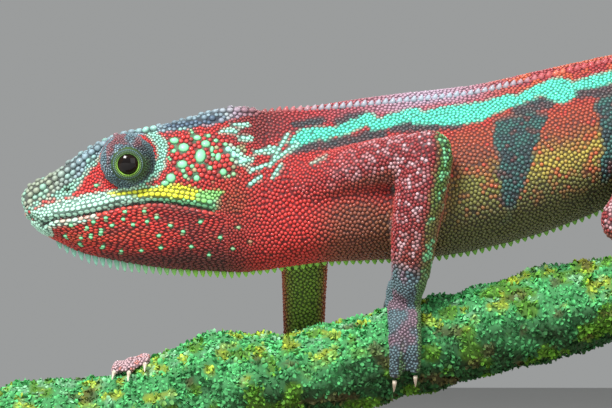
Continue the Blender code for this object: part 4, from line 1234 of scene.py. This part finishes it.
for number, group in enumerate(np.array_split(rng.permutation(len(tuft_spots)), 2), 1):
    spots, out = tuft_spots[group], tuft_out[group]
    wild = out * 0.6 + rng.normal(0, 0.55, (len(group), 3))
    wild /= np.linalg.norm(wild, axis=1)[:, None]
    axes = frames(wild, rng.normal(0, 1, (len(group), 3)))
    size = 0.55 + 0.75 * cloud(spots, 2.5, 61)[:, None] * rng.uniform(0.6, 1.3, (len(group), 1))
    moss = copies(f"moss_{number}", leaf, leaf_faces, spots - out * 0.15, axes, size * np.ones((1, 3)))
    hue = perch_colour(spots, out) * rng.uniform(0.65, 1.35, (len(group), 1))
    # Each moss leaf is darker at its root than at its tip: painted shade inside the tuft.
    lift = 0.45 + 0.55 * leaf[:, 0]
    write_colours(moss.data, "markings_and_shading", np.clip(hue[:, None] * lift[None, :, None], 0, 1).reshape(-1, 3))
    moss.data.materials.append(moss_material)
    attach(moss, "root")
    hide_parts("perch")

# ---------------------------------------------------------------- stand
# A plain oiled wooden base carries two satin steel rods that hold the branch from below.
base_material, shader, coords = new_material("oiled_wood", 0.45, 0.15)
grain = coords.node("ShaderNodeMapping", None, {"Vector": coords, "Scale": (0.08, 1.0, 1.0)})
lines = grain.noise(260.0, 6.0)
feed(shader, "Base Color", lines.ramp((0.35, (0.115, 0.055, 0.026)), (0.65, (0.235, 0.125, 0.062))))
feed(shader, "Roughness", 0.38 + lines * 0.2)
rod_material, shader, coords = new_material("satin_steel", 0.3)
shader.inputs["Metallic"].default_value = 1.0
brushed = coords.node("ShaderNodeMapping", None, {"Vector": coords, "Scale": (1.0, 1.0, 0.02)}).noise(3000.0)
feed(shader, "Base Color", brushed.ramp((0.3, (0.46, 0.46, 0.47)), (0.7, (0.62, 0.62, 0.63))))
feed(shader, "Roughness", 0.24 + brushed * 0.14)
for node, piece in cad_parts.items():
    if node.startswith("stand_"):
        piece.data.materials.clear()
        piece.data.materials.append(base_material if node == "stand_base" else rod_material)

# ---------------------------------------------------------------- floor and light
# A wide pale floor under a plain pale sky, one large soft lamp from the front left above, a
# weaker one from the right and a low fill.
bm = bmesh.new()
bmesh.ops.create_circle(bm, cap_ends=True, segments=96, radius=6.0)
floor = new_piece("floor", bm)
floor_material, shader, coords = new_material("pale_floor", 0.8)
feed(shader, "Base Color", coords.noise(30.0).ramp((0.3, (0.43, 0.43, 0.42)), (0.7, (0.46, 0.46, 0.45))))
floor.data.materials.append(floor_material)
world = bpy.data.worlds.new("studio")
world.use_nodes = True
world.node_tree.nodes["Background"].inputs["Color"].default_value = (0.78, 0.80, 0.80, 1.0)
world.node_tree.nodes["Background"].inputs["Strength"].default_value = 0.42
scene.world = world
scene.view_settings.view_transform = "Standard"
for name, place, power, size in (
    ("key", (-0.45, -0.75, 0.95), 27.0, 0.4), ("fill", (0.8, -0.7, 0.4), 4.0, 0.9),
    ("back", (0.3, 0.9, 0.8), 6.0, 0.7),
):  # fmt: skip
    lamp = bpy.data.objects.new(name, bpy.data.lights.new(name, "AREA"))
    lamp.data.energy = power
    lamp.data.size = size
    lamp.location = place
    lamp.rotation_euler = (Vector((-0.03, 0, 0.09)) - Vector(place)).to_track_quat("-Z", "Y").to_euler()
    scene.collection.objects.link(lamp)
